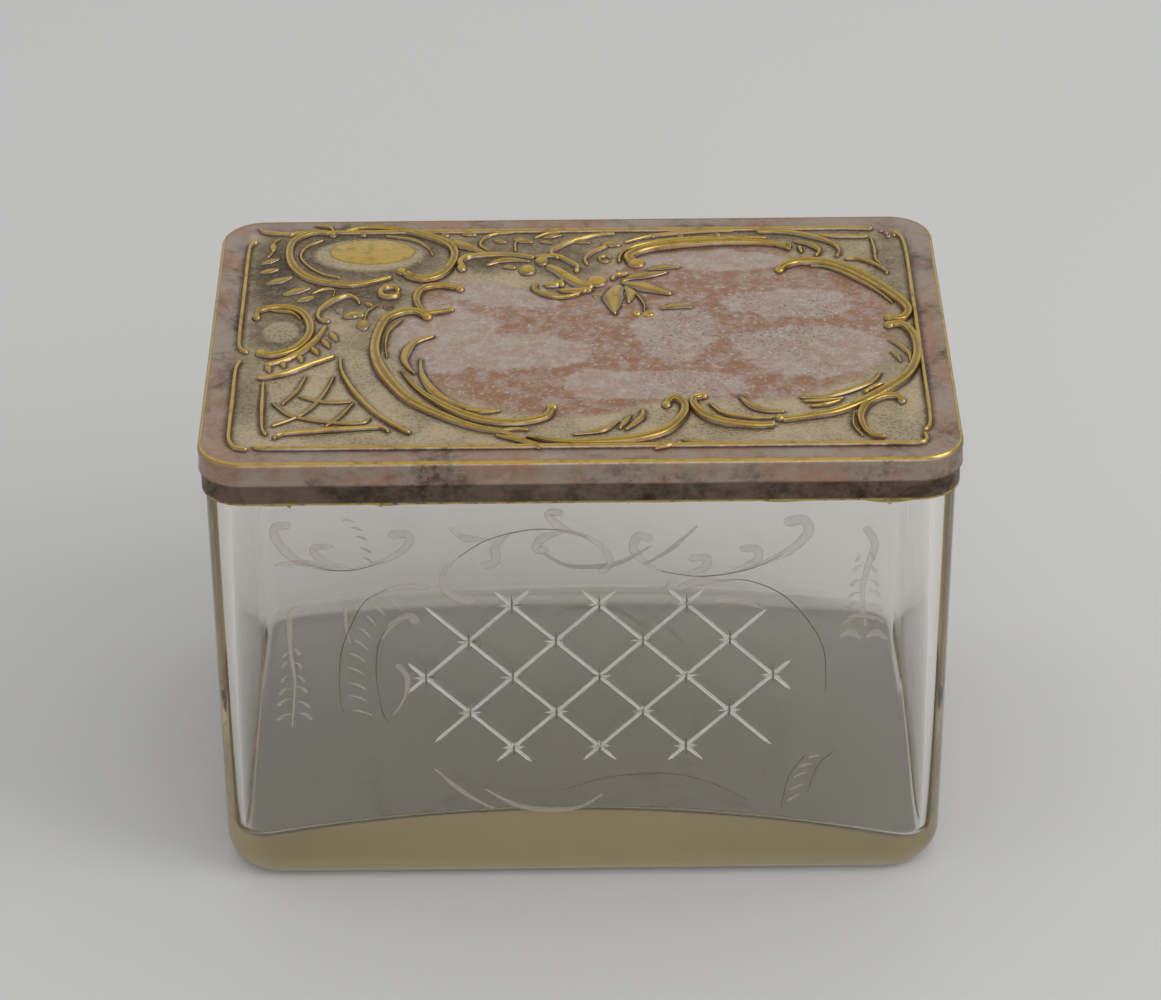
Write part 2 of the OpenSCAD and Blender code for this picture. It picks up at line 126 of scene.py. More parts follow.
class Shader(NodeGraph):
    """A material under construction, with the few patterns that every finish here is made from."""

    def __init__(self, name: str) -> None:
        """Args: name: the material's name."""
        self.material = bpy.data.materials.new(name)
        self.material.use_nodes = True
        super().__init__(self.material.node_tree)
        self.tree.nodes.clear()
        self.output = self.add("ShaderNodeOutputMaterial")
        self.place = self.add("ShaderNodeTexCoord").outputs["Object"]

    def noise(self, scale: float, detail: float = 3.0, rough: float = 0.55, twist: float = 0.0,
              stretch: tuple[float, float, float] | None = None) -> Socket:
        """Cloudy noise on the object's own coordinates.

        Args:
            scale: number of clouds in a metre.
            detail: number of finer layers.
            rough: strength of the finer layers.
            twist: distortion.
            stretch: scale of each axis, for streaks.

        Returns:
            A value from 0 to 1.
        """
        place = self.place
        if stretch is not None:
            place = self.add("ShaderNodeMapping", {"Vector": place, "Scale": stretch}).outputs["Vector"]
        node = self.add("ShaderNodeTexNoise", {"Vector": place, "Scale": scale, "Detail": detail,
                                               "Roughness": rough, "Distortion": twist})
        return node.outputs["Fac"]

    def cells(self, scale: float) -> Socket:
        """Distance to the nearest of scattered points, scale of them in a metre."""
        return self.add("ShaderNodeTexVoronoi", {"Vector": self.place, "Scale": scale}).outputs["Distance"]

    def attribute(self, name: str) -> Socket:
        """The value that the mesh carries under a name."""
        return self.add("ShaderNodeAttribute", attribute_name=name).outputs["Fac"]

    def height(self) -> Socket:
        """Height of the shaded point in metres."""
        return self.add("ShaderNodeSeparateXYZ", {0: self.place}).outputs["Z"]

    def span(self, value: Any, low: float, high: float, to_low: float = 0.0, to_high: float = 1.0) -> Socket:
        """Maps a value smoothly from one span to another, and holds it there.

        Args:
            value: what is mapped.
            low: start of its span.
            high: end of its span.
            to_low: what the start becomes.
            to_high: what the end becomes.

        Returns:
            The mapped value.
        """
        node = self.add("ShaderNodeMapRange", {"Value": value, "From Min": low, "From Max": high,
                                               "To Min": to_low, "To Max": to_high},
                        interpolation_type="SMOOTHSTEP")
        return node.outputs["Result"]

    def held(self, how: str, a: Any, b: Any) -> Socket:
        """Two values put together by an operation, held to 0..1."""
        return self.add("ShaderNodeMath", {0: a, 1: b}, operation=how, use_clamp=True).outputs[0]

    def times(self, a: Any, b: Any) -> Socket:
        """The product of two values, held to 0..1."""
        return self.held("MULTIPLY", a, b)

    def plus(self, a: Any, b: Any) -> Socket:
        """The sum of two values, held to 0..1."""
        return self.held("ADD", a, b)

    def minus(self, a: Any, b: Any) -> Socket:
        """The first value less the second, held to 0..1."""
        return self.held("SUBTRACT", a, b)

    def mix(self, share: Any, a: Any, b: Any) -> Socket:
        """Colour between two colours.

        Args:
            share: 0 for the first colour, 1 for the second.
            a: the first colour, plain or a socket.
            b: the second one.

        Returns:
            The mixed colour.
        """
        first, second = [c if isinstance(c, Socket) else (*c, 1.0) for c in (a, b)]
        return self.add("ShaderNodeMix", {0: share, 6: first, 7: second}, data_type="RGBA").outputs[2]

    def bump(self, height: Any, depth: float, strength: float = 1.0, under: Any = None) -> Socket:
        """Normal of a bumped surface.

        Args:
            height: the pattern.
            depth: its real depth in metres.
            strength: how much of it shows.
            under: normal that it lies on.

        Returns:
            The normal.
        """
        node = self.add("ShaderNodeBump", {"Height": height, "Distance": depth, "Strength": strength})
        if under is not None:
            self.put(node.inputs["Normal"], under)
        return node.outputs["Normal"]

    def principled(self, values: dict[str, Any]) -> Material:
        """Ends the material in a Principled shader.

        Args:
            values: a value for each named input of the shader.

        Returns:
            The material.
        """
        node = self.add("ShaderNodeBsdfPrincipled", values)
        self.put(self.output.inputs["Surface"], node.outputs["BSDF"])
        return self.material


class GeometryTree(NodeGraph):
    """A Geometry Nodes tree with named inputs."""

    def __init__(self, name: str, inputs: dict[str, tuple[str, Any]]) -> None:
        """Args:
            name: the tree's name.
            inputs: socket type and default value of each named input.
        """
        super().__init__(bpy.data.node_groups.new(name, "GeometryNodeTree"))
        face = self.tree.interface
        face.new_socket("Geometry", in_out="INPUT", socket_type="NodeSocketGeometry")
        for label, (kind, value) in inputs.items():
            socket = face.new_socket(label, in_out="INPUT", socket_type=kind)
            if value is not None:
                socket.default_value = value
        face.new_socket("Geometry", in_out="OUTPUT", socket_type="NodeSocketGeometry")
        self.start = self.add("NodeGroupInput")
        self.end = self.add("NodeGroupOutput")

    def math(self, how: str, a: Any, b: Any = None) -> Socket:
        """The result of a Math node on one or two values."""
        return self.add("ShaderNodeMath", {0: a, 1: b}, operation=how).outputs[0]

    def named(self, name: str, kind: str = "FLOAT") -> Socket:
        """An attribute of the geometry."""
        return self.add("GeometryNodeInputNamedAttribute", {"Name": name},
                        data_type=kind).outputs["Attribute"]

    def finish(self, geometry: Socket, material: Socket) -> None:
        """Ends the tree in Realize Instances and Set Material.

        Args:
            geometry: the finished geometry.
            material: its material.
        """
        real = self.add("GeometryNodeRealizeInstances", {"Geometry": geometry})
        dressed = self.add("GeometryNodeSetMaterial", {"Geometry": real.outputs[0], "Material": material})
        self.put(self.end.inputs[0], dressed.outputs[0])

    def run(self, obj: Object, values: dict[str, Any]) -> Object:
        """Runs the tree on an object and leaves a plain mesh.

        Args:
            obj: the object whose mesh goes in.
            values: a value for each named input.

        Returns:
            The same object with the result as its mesh.
        """
        modifier = obj.modifiers.new("nodes", "NODES")
        modifier.node_group = self.tree
        for item in self.tree.interface.items_tree:
            if item.item_type == "SOCKET" and item.in_out == "INPUT" and item.name in values:
                modifier[item.identifier] = values[item.name]
        settle(obj)
        return obj


def settle(obj: Object) -> None:
    """Turns an object with modifiers into a plain mesh.

    Args:
        obj: the object.
    """
    bpy.context.view_layer.update()
    evaluated = obj.evaluated_get(bpy.context.evaluated_depsgraph_get())
    mesh = bpy.data.meshes.new_from_object(evaluated)
    obj.modifiers.clear()
    old = obj.data
    obj.data = mesh
    bpy.data.meshes.remove(old)


def make_object(name: str, points: Any, faces: Sequence[Sequence[int]], edges: Sequence[tuple[int, int]] = (),
                material: Material | None = None, smooth: bool = True) -> Object:
    """Makes a mesh object at the origin.

    Args:
        name: its name.
        points: vertex places in metres.
        faces: vertex numbers of each face.
        edges: loose edges.
        material: its finish.
        smooth: whether faces are shaded smooth.

    Returns:
        The object, linked to the scene.
    """
    mesh = bpy.data.meshes.new(name)
    mesh.from_pydata([tuple(p) for p in points], list(edges), [tuple(f) for f in faces])
    mesh.polygons.foreach_set("use_smooth", [smooth] * len(mesh.polygons))
    if material is not None:
        mesh.materials.append(material)
    obj = bpy.data.objects.new(name, mesh)
    bpy.context.scene.collection.objects.link(obj)
    return obj


def square(name: str, half: float, material: Material | None = None) -> Object:
    """Makes a level square at height 0.

    Args:
        name: name of the object.
        half: half its side, in metres.
        material: its finish, if it has one.

    Returns:
        The square.
    """
    corners = [(-half, -half, 0), (half, -half, 0), (half, half, 0), (-half, half, 0)]
    return make_object(name, corners, [(0, 1, 2, 3)], material=material, smooth=material is None)


def set_values(obj: Object, name: str, values: Any) -> None:
    """Stores one float for each vertex under a name."""
    layer = obj.data.attributes.new(name, "FLOAT", "POINT")
    layer.data.foreach_set("value", np.asarray(values, np.float32))


def set_vectors(obj: Object, name: str, values: np.ndarray) -> None:
    """Stores one vector for each vertex under a name."""
    layer = obj.data.attributes.new(name, "FLOAT_VECTOR", "POINT")
    layer.data.foreach_set("vector", values.astype(np.float32).ravel())


def within(blob: Blob, x: np.ndarray, y: np.ndarray) -> np.ndarray:
    """How far inside an ellipse places are: 1 in its middle, 0 on its edge and less outside.

    Args:
        blob: the ellipse's place, half width and half depth, and whatever follows.
        x: places across, in millimetres.
        y: places front to back.

    Returns:
        A value for each place.
    """
    return 1 - ((x - blob[0]) / blob[2]) ** 2 - ((y - blob[1]) / blob[3]) ** 2


def sharpen(obj: Object, degrees: float) -> None:
    """Marks the edges sharp whose faces meet at more than an angle.

    Args:
        obj: the object.
        degrees: the angle.
    """
    mesh = bmesh.new()
    mesh.from_mesh(obj.data)
    for edge in mesh.edges:
        edge.smooth = not (len(edge.link_faces) == 2 and edge.calc_face_angle(0.0) > math.radians(degrees))
    mesh.to_mesh(obj.data)
    mesh.free()


def smooth_path(points: Sequence[Point], step: float, closed: bool = False) -> np.ndarray:
    """A smooth curve through points, with a point about every step.

    Args:
        points: the points that it goes through.
        step: distance between the new points.
        closed: whether the end meets the start.

    Returns:
        The points of the curve.
    """
    p = np.asarray(points, float)
    n = len(p)
    last = n if closed else n - 1
    out = []
    for i in range(last):
        a = p[(i - 1) % n] if closed or i else p[0]
        b, c = p[i], p[(i + 1) % n]
        d = p[(i + 2) % n] if closed or i + 2 < n else p[n - 1]
        count = max(1, round(float(np.linalg.norm(c - b)) / step))
        t = (np.arange(count) / count)[:, None]
        out.append(0.5 * (2 * b + (c - a) * t + (2 * a - 5 * b + 4 * c - d) * t**2
                          + (3 * b - a - 3 * c + d) * t**3))
    if not closed:
        out.append(p[-1:])
    return np.vstack(out)


@dataclass(frozen=True)
class Ring:
    """One ring of a rounded rectangle, in metres.

    Attributes:
        mid_x: how far the corners' centres lie from the middle across.
        mid_y: how far they lie from it front to back.
        radius: corner radius.
        z: height.
    """

    mid_x: float
    mid_y: float
    radius: float
    z: float


@dataclass
class RoundedShell:
    """Topology of a shell on a rounded rectangle: a grid in the middle and rings round it.

    Attributes:
        columns: grid cells along X.
        rows: grid cells along Y.
        turns: cells round each corner.
    """

    columns: int
    rows: int
    turns: int

    def grid(self, ring: Ring) -> np.ndarray:
        """Points of the grid inside a ring.

        Args:
            ring: the ring, of which only the corner centres and the height count.

        Returns:
            The points, row by row.
        """
        x = np.linspace(-ring.mid_x, ring.mid_x, self.columns + 1)
        y = np.linspace(-ring.mid_y, ring.mid_y, self.rows + 1)
        gx, gy = np.meshgrid(x, y)
        return np.stack([gx.ravel(), gy.ravel(), np.full(gx.size, ring.z)], 1)

    def rim(self) -> list[int]:
        """Finds the grid points round the edge.

        Returns:
            Their numbers in the order of a ring, with each corner point once for every turn.
        """
        w = self.columns + 1
        right = [r * w + self.columns for r in range(self.rows + 1)]
        top = [self.rows * w + c for c in range(self.columns, -1, -1)]
        left = [r * w for r in range(self.rows, -1, -1)]
        bottom = list(range(w))
        out: list[int] = []
        for side in (right, top, left, bottom):
            out += side + [side[-1]] * (self.turns - 1)
        return out

    def loop(self, ring: Ring) -> np.ndarray:
        """Points of a ring.

        Args:
            ring: the ring.

        Returns:
            The points, from the front end of the right side on, anticlockwise.
        """
        out = []
        sides = (((1, -1), (1, 1), self.rows), ((1, 1), (-1, 1), self.columns),
                 ((-1, 1), (-1, -1), self.rows), ((-1, -1), (1, -1), self.columns))
        for k, (a, b, count) in enumerate(sides):
            start = k * math.pi / 2
            t = np.linspace(0, 1, count + 1)
            x = ring.mid_x * (a[0] + (b[0] - a[0]) * t) + ring.radius * math.cos(start)
            y = ring.mid_y * (a[1] + (b[1] - a[1]) * t) + ring.radius * math.sin(start)
            out.append(np.stack([x, y], 1))
            turn = start + math.pi / 2 * np.arange(1, self.turns) / self.turns
            out.append(np.stack([ring.mid_x * b[0] + ring.radius * np.cos(turn),
                                 ring.mid_y * b[1] + ring.radius * np.sin(turn)], 1))
        flat = np.vstack(out)
        return np.column_stack([flat, np.full(len(flat), ring.z)])

    def grid_faces(self, first: int, up: bool) -> list[tuple[int, ...]]:
        """Faces of a grid.

        Args:
            first: number of its first point.
            up: whether the faces look up.

        Returns:
            The point numbers of each face.
        """
        w = self.columns + 1
        quads = [(first + r * w + c, first + r * w + c + 1, first + (r + 1) * w + c + 1,
                  first + (r + 1) * w + c)
                 for r in range(self.rows) for c in range(self.columns)]
        return quads if up else [q[::-1] for q in quads]

    @staticmethod
    def band(inner: Sequence[int], outer: Sequence[int]) -> list[tuple[int, ...]]:
        """Faces between two rings, facing up where the outer one is further out.

        Args:
            inner: point numbers of the inner ring.
            outer: point numbers of the outer ring.

        Returns:
            The point numbers of each face.
        """
        faces = []
        for i in range(len(inner)):
            k = (i + 1) % len(inner)
            faces.append(tuple(dict.fromkeys((inner[i], outer[i], outer[k], inner[k]))))
        return [face for face in faces if len(face) > 2]


class ShellMesh:
    """Points and faces of a closed shell that is built ring by ring."""

    def __init__(self, shell: RoundedShell, start: np.ndarray) -> None:
        """Starts the shell with the grid in its middle.

        Args:
            shell: the topology.
            start: the grid's points.
        """
        self.shell = shell
        self.blocks = [start]
        self.faces = shell.grid_faces(0, True)
        self.before = shell.rim()
        self.count = len(start)

    def add(self, points: np.ndarray) -> None:
        """Adds a ring and the band of faces from the one before it.

        Args:
            points: the ring's points.
        """
        now = list(range(self.count, self.count + len(points)))
        self.faces += self.shell.band(self.before, now)
        self.blocks.append(points)
        self.before = now
        self.count += len(points)

    def close(self, points: np.ndarray) -> None:
        """Closes the shell with a second grid that faces down.

        Args:
            points: the grid's points.
        """
        self.faces += self.shell.band(self.before, [self.count + i for i in self.shell.rim()])
        self.faces += self.shell.grid_faces(self.count, False)
        self.blocks.append(points)


def scaled(colour: Colour, by: float) -> Colour:
    """A colour made lighter or darker."""
    return tuple(by * c for c in colour)


@dataclass(frozen=True)
class Plate:
    """Worn silver plate over brass: rose patches where silver is thin, brass on high points with a painted
    highlight, painted shade in the hollows.

    Attributes:
        name: the material's name.
        silver: colour of the plate.
        rose: colour where the plate has worn thin.
        brass: colour of the bare brass.
        dark: colour of the stains and specks, and of the painted shade in the hollows and beside the rolls.
        gloss: roughness of the clean metal.
        rose_share: how much of the surface is rose.
    """

    name: str
    silver: Colour = (0.37, 0.30, 0.245)
    rose: Colour = (0.37, 0.215, 0.145)
    brass: Colour = (0.44, 0.30, 0.07)
    dark: Colour = (0.045, 0.034, 0.026)
    gloss: float = 0.32
    rose_share: float = 0.5

    def cover(self, s: Shader) -> tuple[Socket, Socket]:
        """Mottled plate.

        Args:
            s: the material under construction.

        Returns:
            The colour and a fine noise.
        """
        fine = s.noise(520, 5, 0.75)
        mottle = s.plus(s.noise(62, 5, 0.68, 0.5), s.times(fine, 0.3))
        colour = s.mix(s.span(mottle, 0.56, 1.0 - 0.4 * self.rose_share), self.silver, self.rose)
        streak = s.span(s.noise(150, 4, 0.7, 0.4, (1.0, 1.0, 3.5)), 0.5, 0.75, 0.0, 0.35)
        colour = s.mix(streak, colour, scaled(self.silver, 1.35))
        stain = s.span(s.noise(75, 6, 0.72, 0.4), 0.47, 0.72)
        stain = s.times(stain, s.span(fine, 0.35, 0.6, 0.3, 0.85))
        return s.mix(stain, colour, self.dark), fine

    def finish(self, s: Shader, colour: Any, fine: Any, grain: Any = 0.0) -> Material:
        """Adds brass with a painted highlight on its crests, painted shade in the hollows, roughness and bump
        to a plate.

        Args:
            s: the material under construction.
            colour: the plate's colour.
            fine: the fine noise.
            grain: where the surface is sandy.

        Returns:
            The finished material.
        """
        crest = s.attribute("crest")
        worn = s.times(s.span(crest, 0.34, 0.72), s.span(s.noise(210, 4, 0.7), 0.22, 0.42, 0.3, 1.0))
        # painted highlight and shade: brass is lighter on the tops of rolls and beads and darker on their
        # flanks
        brass = s.mix(s.span(crest, 0.5, 0.95), scaled(self.brass, 0.55), scaled(self.brass, 1.25))
        brass = s.mix(s.span(s.noise(330, 3, 0.6), 0.45, 0.8), brass, scaled(self.brass, 0.62))
        colour = s.mix(worn, colour, brass)
        # painted shade from the mesh: darker at the feet of rolls and beads, beside the rolls and in patches
        # of the ground
        recess = s.times(s.attribute("recess"), s.span(fine, 0.25, 0.6, 0.55, 1.0))
        colour = s.mix(recess, colour, self.dark)
        dull = s.plus(fine, s.times(recess, 0.6))
        rough = s.span(dull, 0.3, 1.0, self.gloss - 0.05, self.gloss + 0.25)
        rough = s.minus(rough, s.times(worn, 0.12))
        dents = s.bump(s.noise(110, 2, 0.5), 0.0003, 0.35)
        sand = s.bump(s.times(s.cells(1500), grain), 0.00012, 0.7, dents)
        pores = s.bump(s.noise(1700, 4, 0.7), 0.00004, 0.5, sand)
        return s.principled({"Base Color": colour, "Metallic": 1.0, "Roughness": rough, "Normal": pores})

    def material(self) -> Material:
        """Makes the finish, which reads the mesh values for the crests and for the painted shade.

        Returns:
            The finished material.
        """
        s = Shader(self.name)
        return self.finish(s, *self.cover(s))


@dataclass(frozen=True)
class LidPlate(Plate):
    """The lid's plate, with a sandy ground round the scrolls and silver and rose clouds on the field.

    Attributes:
        bright: silver of the clouds on the field.
        copper: the field between the clouds.
        grains: paler grains of the copper.
        ground: the sandy ground.
    """

    bright: Colour = (0.71, 0.685, 0.645)
    copper: Colour = (0.34, 0.175, 0.10)
    grains: Colour = (0.42, 0.315, 0.25)
    ground: Colour = (0.46, 0.37, 0.235)

    def sandy(self, s: Shader) -> Socket:
        """Colour of the ground round the scrolls.

        Args:
            s: the material under construction.

        Returns:
            The colour.
        """
        colour = s.mix(s.span(s.noise(60, 4, 0.7), 0.38, 0.62), self.ground, scaled(self.ground, 0.6))
        return s.mix(s.span(s.cells(1300), 0.25, 0.6, 0.0, 0.35), colour, scaled(self.ground, 1.5))

    def cloudy(self, s: Shader) -> Socket:
        """Colour of the smooth field, which reads the mesh value silver.

        Args:
            s: the material under construction.

        Returns:
            The colour.
        """
        cloud = s.plus(s.attribute("silver"), s.times(s.noise(45, 4, 0.6, 0.8), 0.8))
        cloud = s.plus(cloud, s.times(s.noise(210, 5, 0.8, 0.5, (1.0, 2.2, 1.0)), 0.6))
        cloud = s.minus(cloud, 0.7)
        silver = s.span(cloud, 0.2, 0.5)
        copper = s.mix(s.span(s.noise(300, 5, 0.8), 0.4, 0.62), self.copper, self.grains)
        colour = s.mix(silver, copper, self.bright)
        edge = s.times(s.span(cloud, 0.1, 0.3), s.span(cloud, 0.4, 0.6, 1.0, 0.0))
        edge = s.times(edge, s.span(s.noise(28, 3, 0.6, 0.4), 0.45, 0.62))
        speck = s.times(s.span(s.noise(1500, 3, 0.7), 0.52, 0.66), s.span(edge, 0.0, 1.0, 0.06, 0.6))
        colour = s.mix(speck, colour, self.dark)
        flake = s.times(s.span(s.noise(1200, 2, 0.5), 0.6, 0.7), s.span(silver, 0.0, 1.0, 0.35, 0.1))
        return s.mix(flake, colour, self.bright)

    def material(self) -> Material:
        """Makes the finish, which reads the mesh values for the crests, the painted shade, panel, field and
        silver.

        Returns:
            The finished material.
        """
        s = Shader(self.name)
        colour, fine = self.cover(s)
        panel, inner = s.attribute("panel"), s.attribute("field")
        colour = s.mix(panel, colour, self.sandy(s))
        colour = s.mix(inner, colour, self.cloudy(s))
        return self.finish(s, colour, fine, s.times(panel, s.minus(1.0, inner)))


@dataclass(frozen=True)
class CollarPlate(Plate):
    """The collar's stained brass, with its lower edge rubbed bright.

    Attributes:
        edge_z: height of the collar's lower edge in metres.
    """

    edge_z: float = 0.0894

    def material(self) -> Material:
        """Makes the finish.

        Returns:
            The finished material.
        """
        s = Shader(self.name)
        colour, fine = self.cover(s)
        rubbed = s.span(s.height(), self.edge_z + 0.0002, self.edge_z + 0.0006, 1.0, 0.0)
        colour = s.mix(s.times(rubbed, s.span(fine, 0.3, 0.55)), colour, self.brass)
        return self.finish(s, colour, fine)


@dataclass(frozen=True)
class Glass:
    """Old pressed glass with a faint olive tint where it is thick.

    Attributes:
        name: the material's name.
        tint: colour that long ways through the glass take on.
        density: how quickly they do so.
        worn_foot: roughness of the underside, which is scuffed from standing.
    """

    name: str
    tint: Colour = (0.70, 0.61, 0.32)
    density: float = 20.0
    worn_foot: float = 0.3

    def material(self) -> Material:
        """Makes the finish.

        Returns:
            The finished material.
        """
        s = Shader(self.name)
        ripple = s.bump(s.noise(26, 2, 0.4), 0.0006, 0.25)
        rough = s.span(s.noise(120, 5, 0.7), 0.45, 0.75, 0.0, 0.035)
        rough = s.plus(rough, s.span(s.height(), 0.0001, 0.0014, self.worn_foot, 0.0))
        absorb = s.add("ShaderNodeVolumeAbsorption", {"Color": (*self.tint, 1.0), "Density": self.density})
        s.put(s.output.inputs["Volume"], absorb.outputs["Volume"])
        return s.principled({"Base Color": (1.0, 1.0, 1.0, 1.0), "Roughness": rough, "IOR": 1.5,
                             "Transmission Weight": 1.0, "Normal": ripple})


@dataclass(frozen=True)
class Frost:
    """Matt wheel-cut surface of the glass.

    Attributes:
        name: the material's name.
        shade: its colour.
        cover: how much it hides what is behind it.
    """

    name: str
    shade: Colour = (0.57, 0.52, 0.46)
    cover: float = 0.36

    def material(self) -> Material:
        """Makes the finish.

        Returns:
            The finished material.
        """
        s = Shader(self.name)
        cloud = s.noise(160, 3, 0.5)
        cover = s.span(cloud, 0.3, 0.7, self.cover * 0.8, self.cover)
        colour = s.mix(s.span(s.noise(900, 3), 0.4, 0.6), self.shade, scaled(self.shade, 0.93))
        normal = s.bump(s.noise(2600, 3, 0.7), 0.00003, 0.6)
        return s.principled({"Base Color": colour, "Roughness": s.span(cloud, 0.3, 0.7, 0.6, 0.8),
                             "Alpha": cover, "Normal": normal})


@dataclass(frozen=True)
class OldCement:
    """Yellowish cement between glass and collar.

    Attributes:
        name: the material's name.
        pale: colour of the clean cement.
        dark: colour where it has darkened.
    """

    name: str
    pale: Colour = (0.50, 0.40, 0.17)
    dark: Colour = (0.22, 0.165, 0.075)

    def material(self) -> Material:
        """Makes the finish.

        Returns:
            The finished material.
        """
        s = Shader(self.name)
        colour = s.mix(s.noise(260, 5, 0.7), self.pale, self.dark)
        normal = s.bump(s.noise(1200, 4, 0.7), 0.0002, 0.8)
        return s.principled({"Base Color": colour, "Roughness": 0.8, "Normal": normal})


@dataclass(frozen=True)
class Floor:
    """Pale seamless paper.

    Attributes:
        name: the material's name.
        shade: its colour.
    """

    name: str
    shade: Colour = (0.60, 0.595, 0.59)

    def material(self) -> Material:
        """Makes the finish.

        Returns:
            The finished material.
        """
        s = Shader(self.name)
        colour = s.mix(s.noise(3, 2), self.shade, scaled(self.shade, 0.97))
        normal = s.bump(s.noise(900, 3), 0.00005, 0.3)
        return s.principled({"Base Color": colour, "Roughness": 0.6, "Normal": normal,
                             "Specular IOR Level": 0.25})


@dataclass(frozen=True)
class Stroke:
    """One roll of the relief, as it is seen from the camera on the plane of the lid's top, in millimetres.

    Attributes:
        points: places that the middle of the roll goes through.
        half: half width at the start, in the middle and at the end.
        rise: height above the ground.
        profile: its cross section.
        drawn: whether the points are places of the drawing, which leans, or true places as seen.
    """

    points: tuple[Point, ...]
    half: tuple[float, float, float] = (0.6, 1.0, 0.5)
    rise: float = 1.0
    profile: Profile = Profile.ROUND
    drawn: bool = True


SIGHT = 1.72
"""How far back a point one unit above the lid's top is seen, because the camera looks down at 30 degrees."""


def on_lid(x: Any, y: Any, rise: float = 0.0) -> tuple[Any, Any]:
    """Place on the lid of a point of the drawing.

    The photographed lid is slightly askew, so the drawing leans, and a high point is seen further back than
    it is.

    Args:
        x: place across, in millimetres.
        y: place front to back, in millimetres, as it is seen.
        rise: height above the lid's top, in millimetres.

    Returns:
        The true place in millimetres.
    """
    true_x = x + 2.5 - 0.00042 * x * x
    true_y = y + 0.4 - 0.0041 * x + 0.0113 * y - 0.00043 * x * y
    return true_x, true_y - SIGHT * rise


def as_seen(x: Any, y: Any, rise: float = 0.0) -> tuple[Any, Any]:
    """True place of a point that is given straight on the lid, but as it is seen from the camera."""
    return x, y - SIGHT * rise


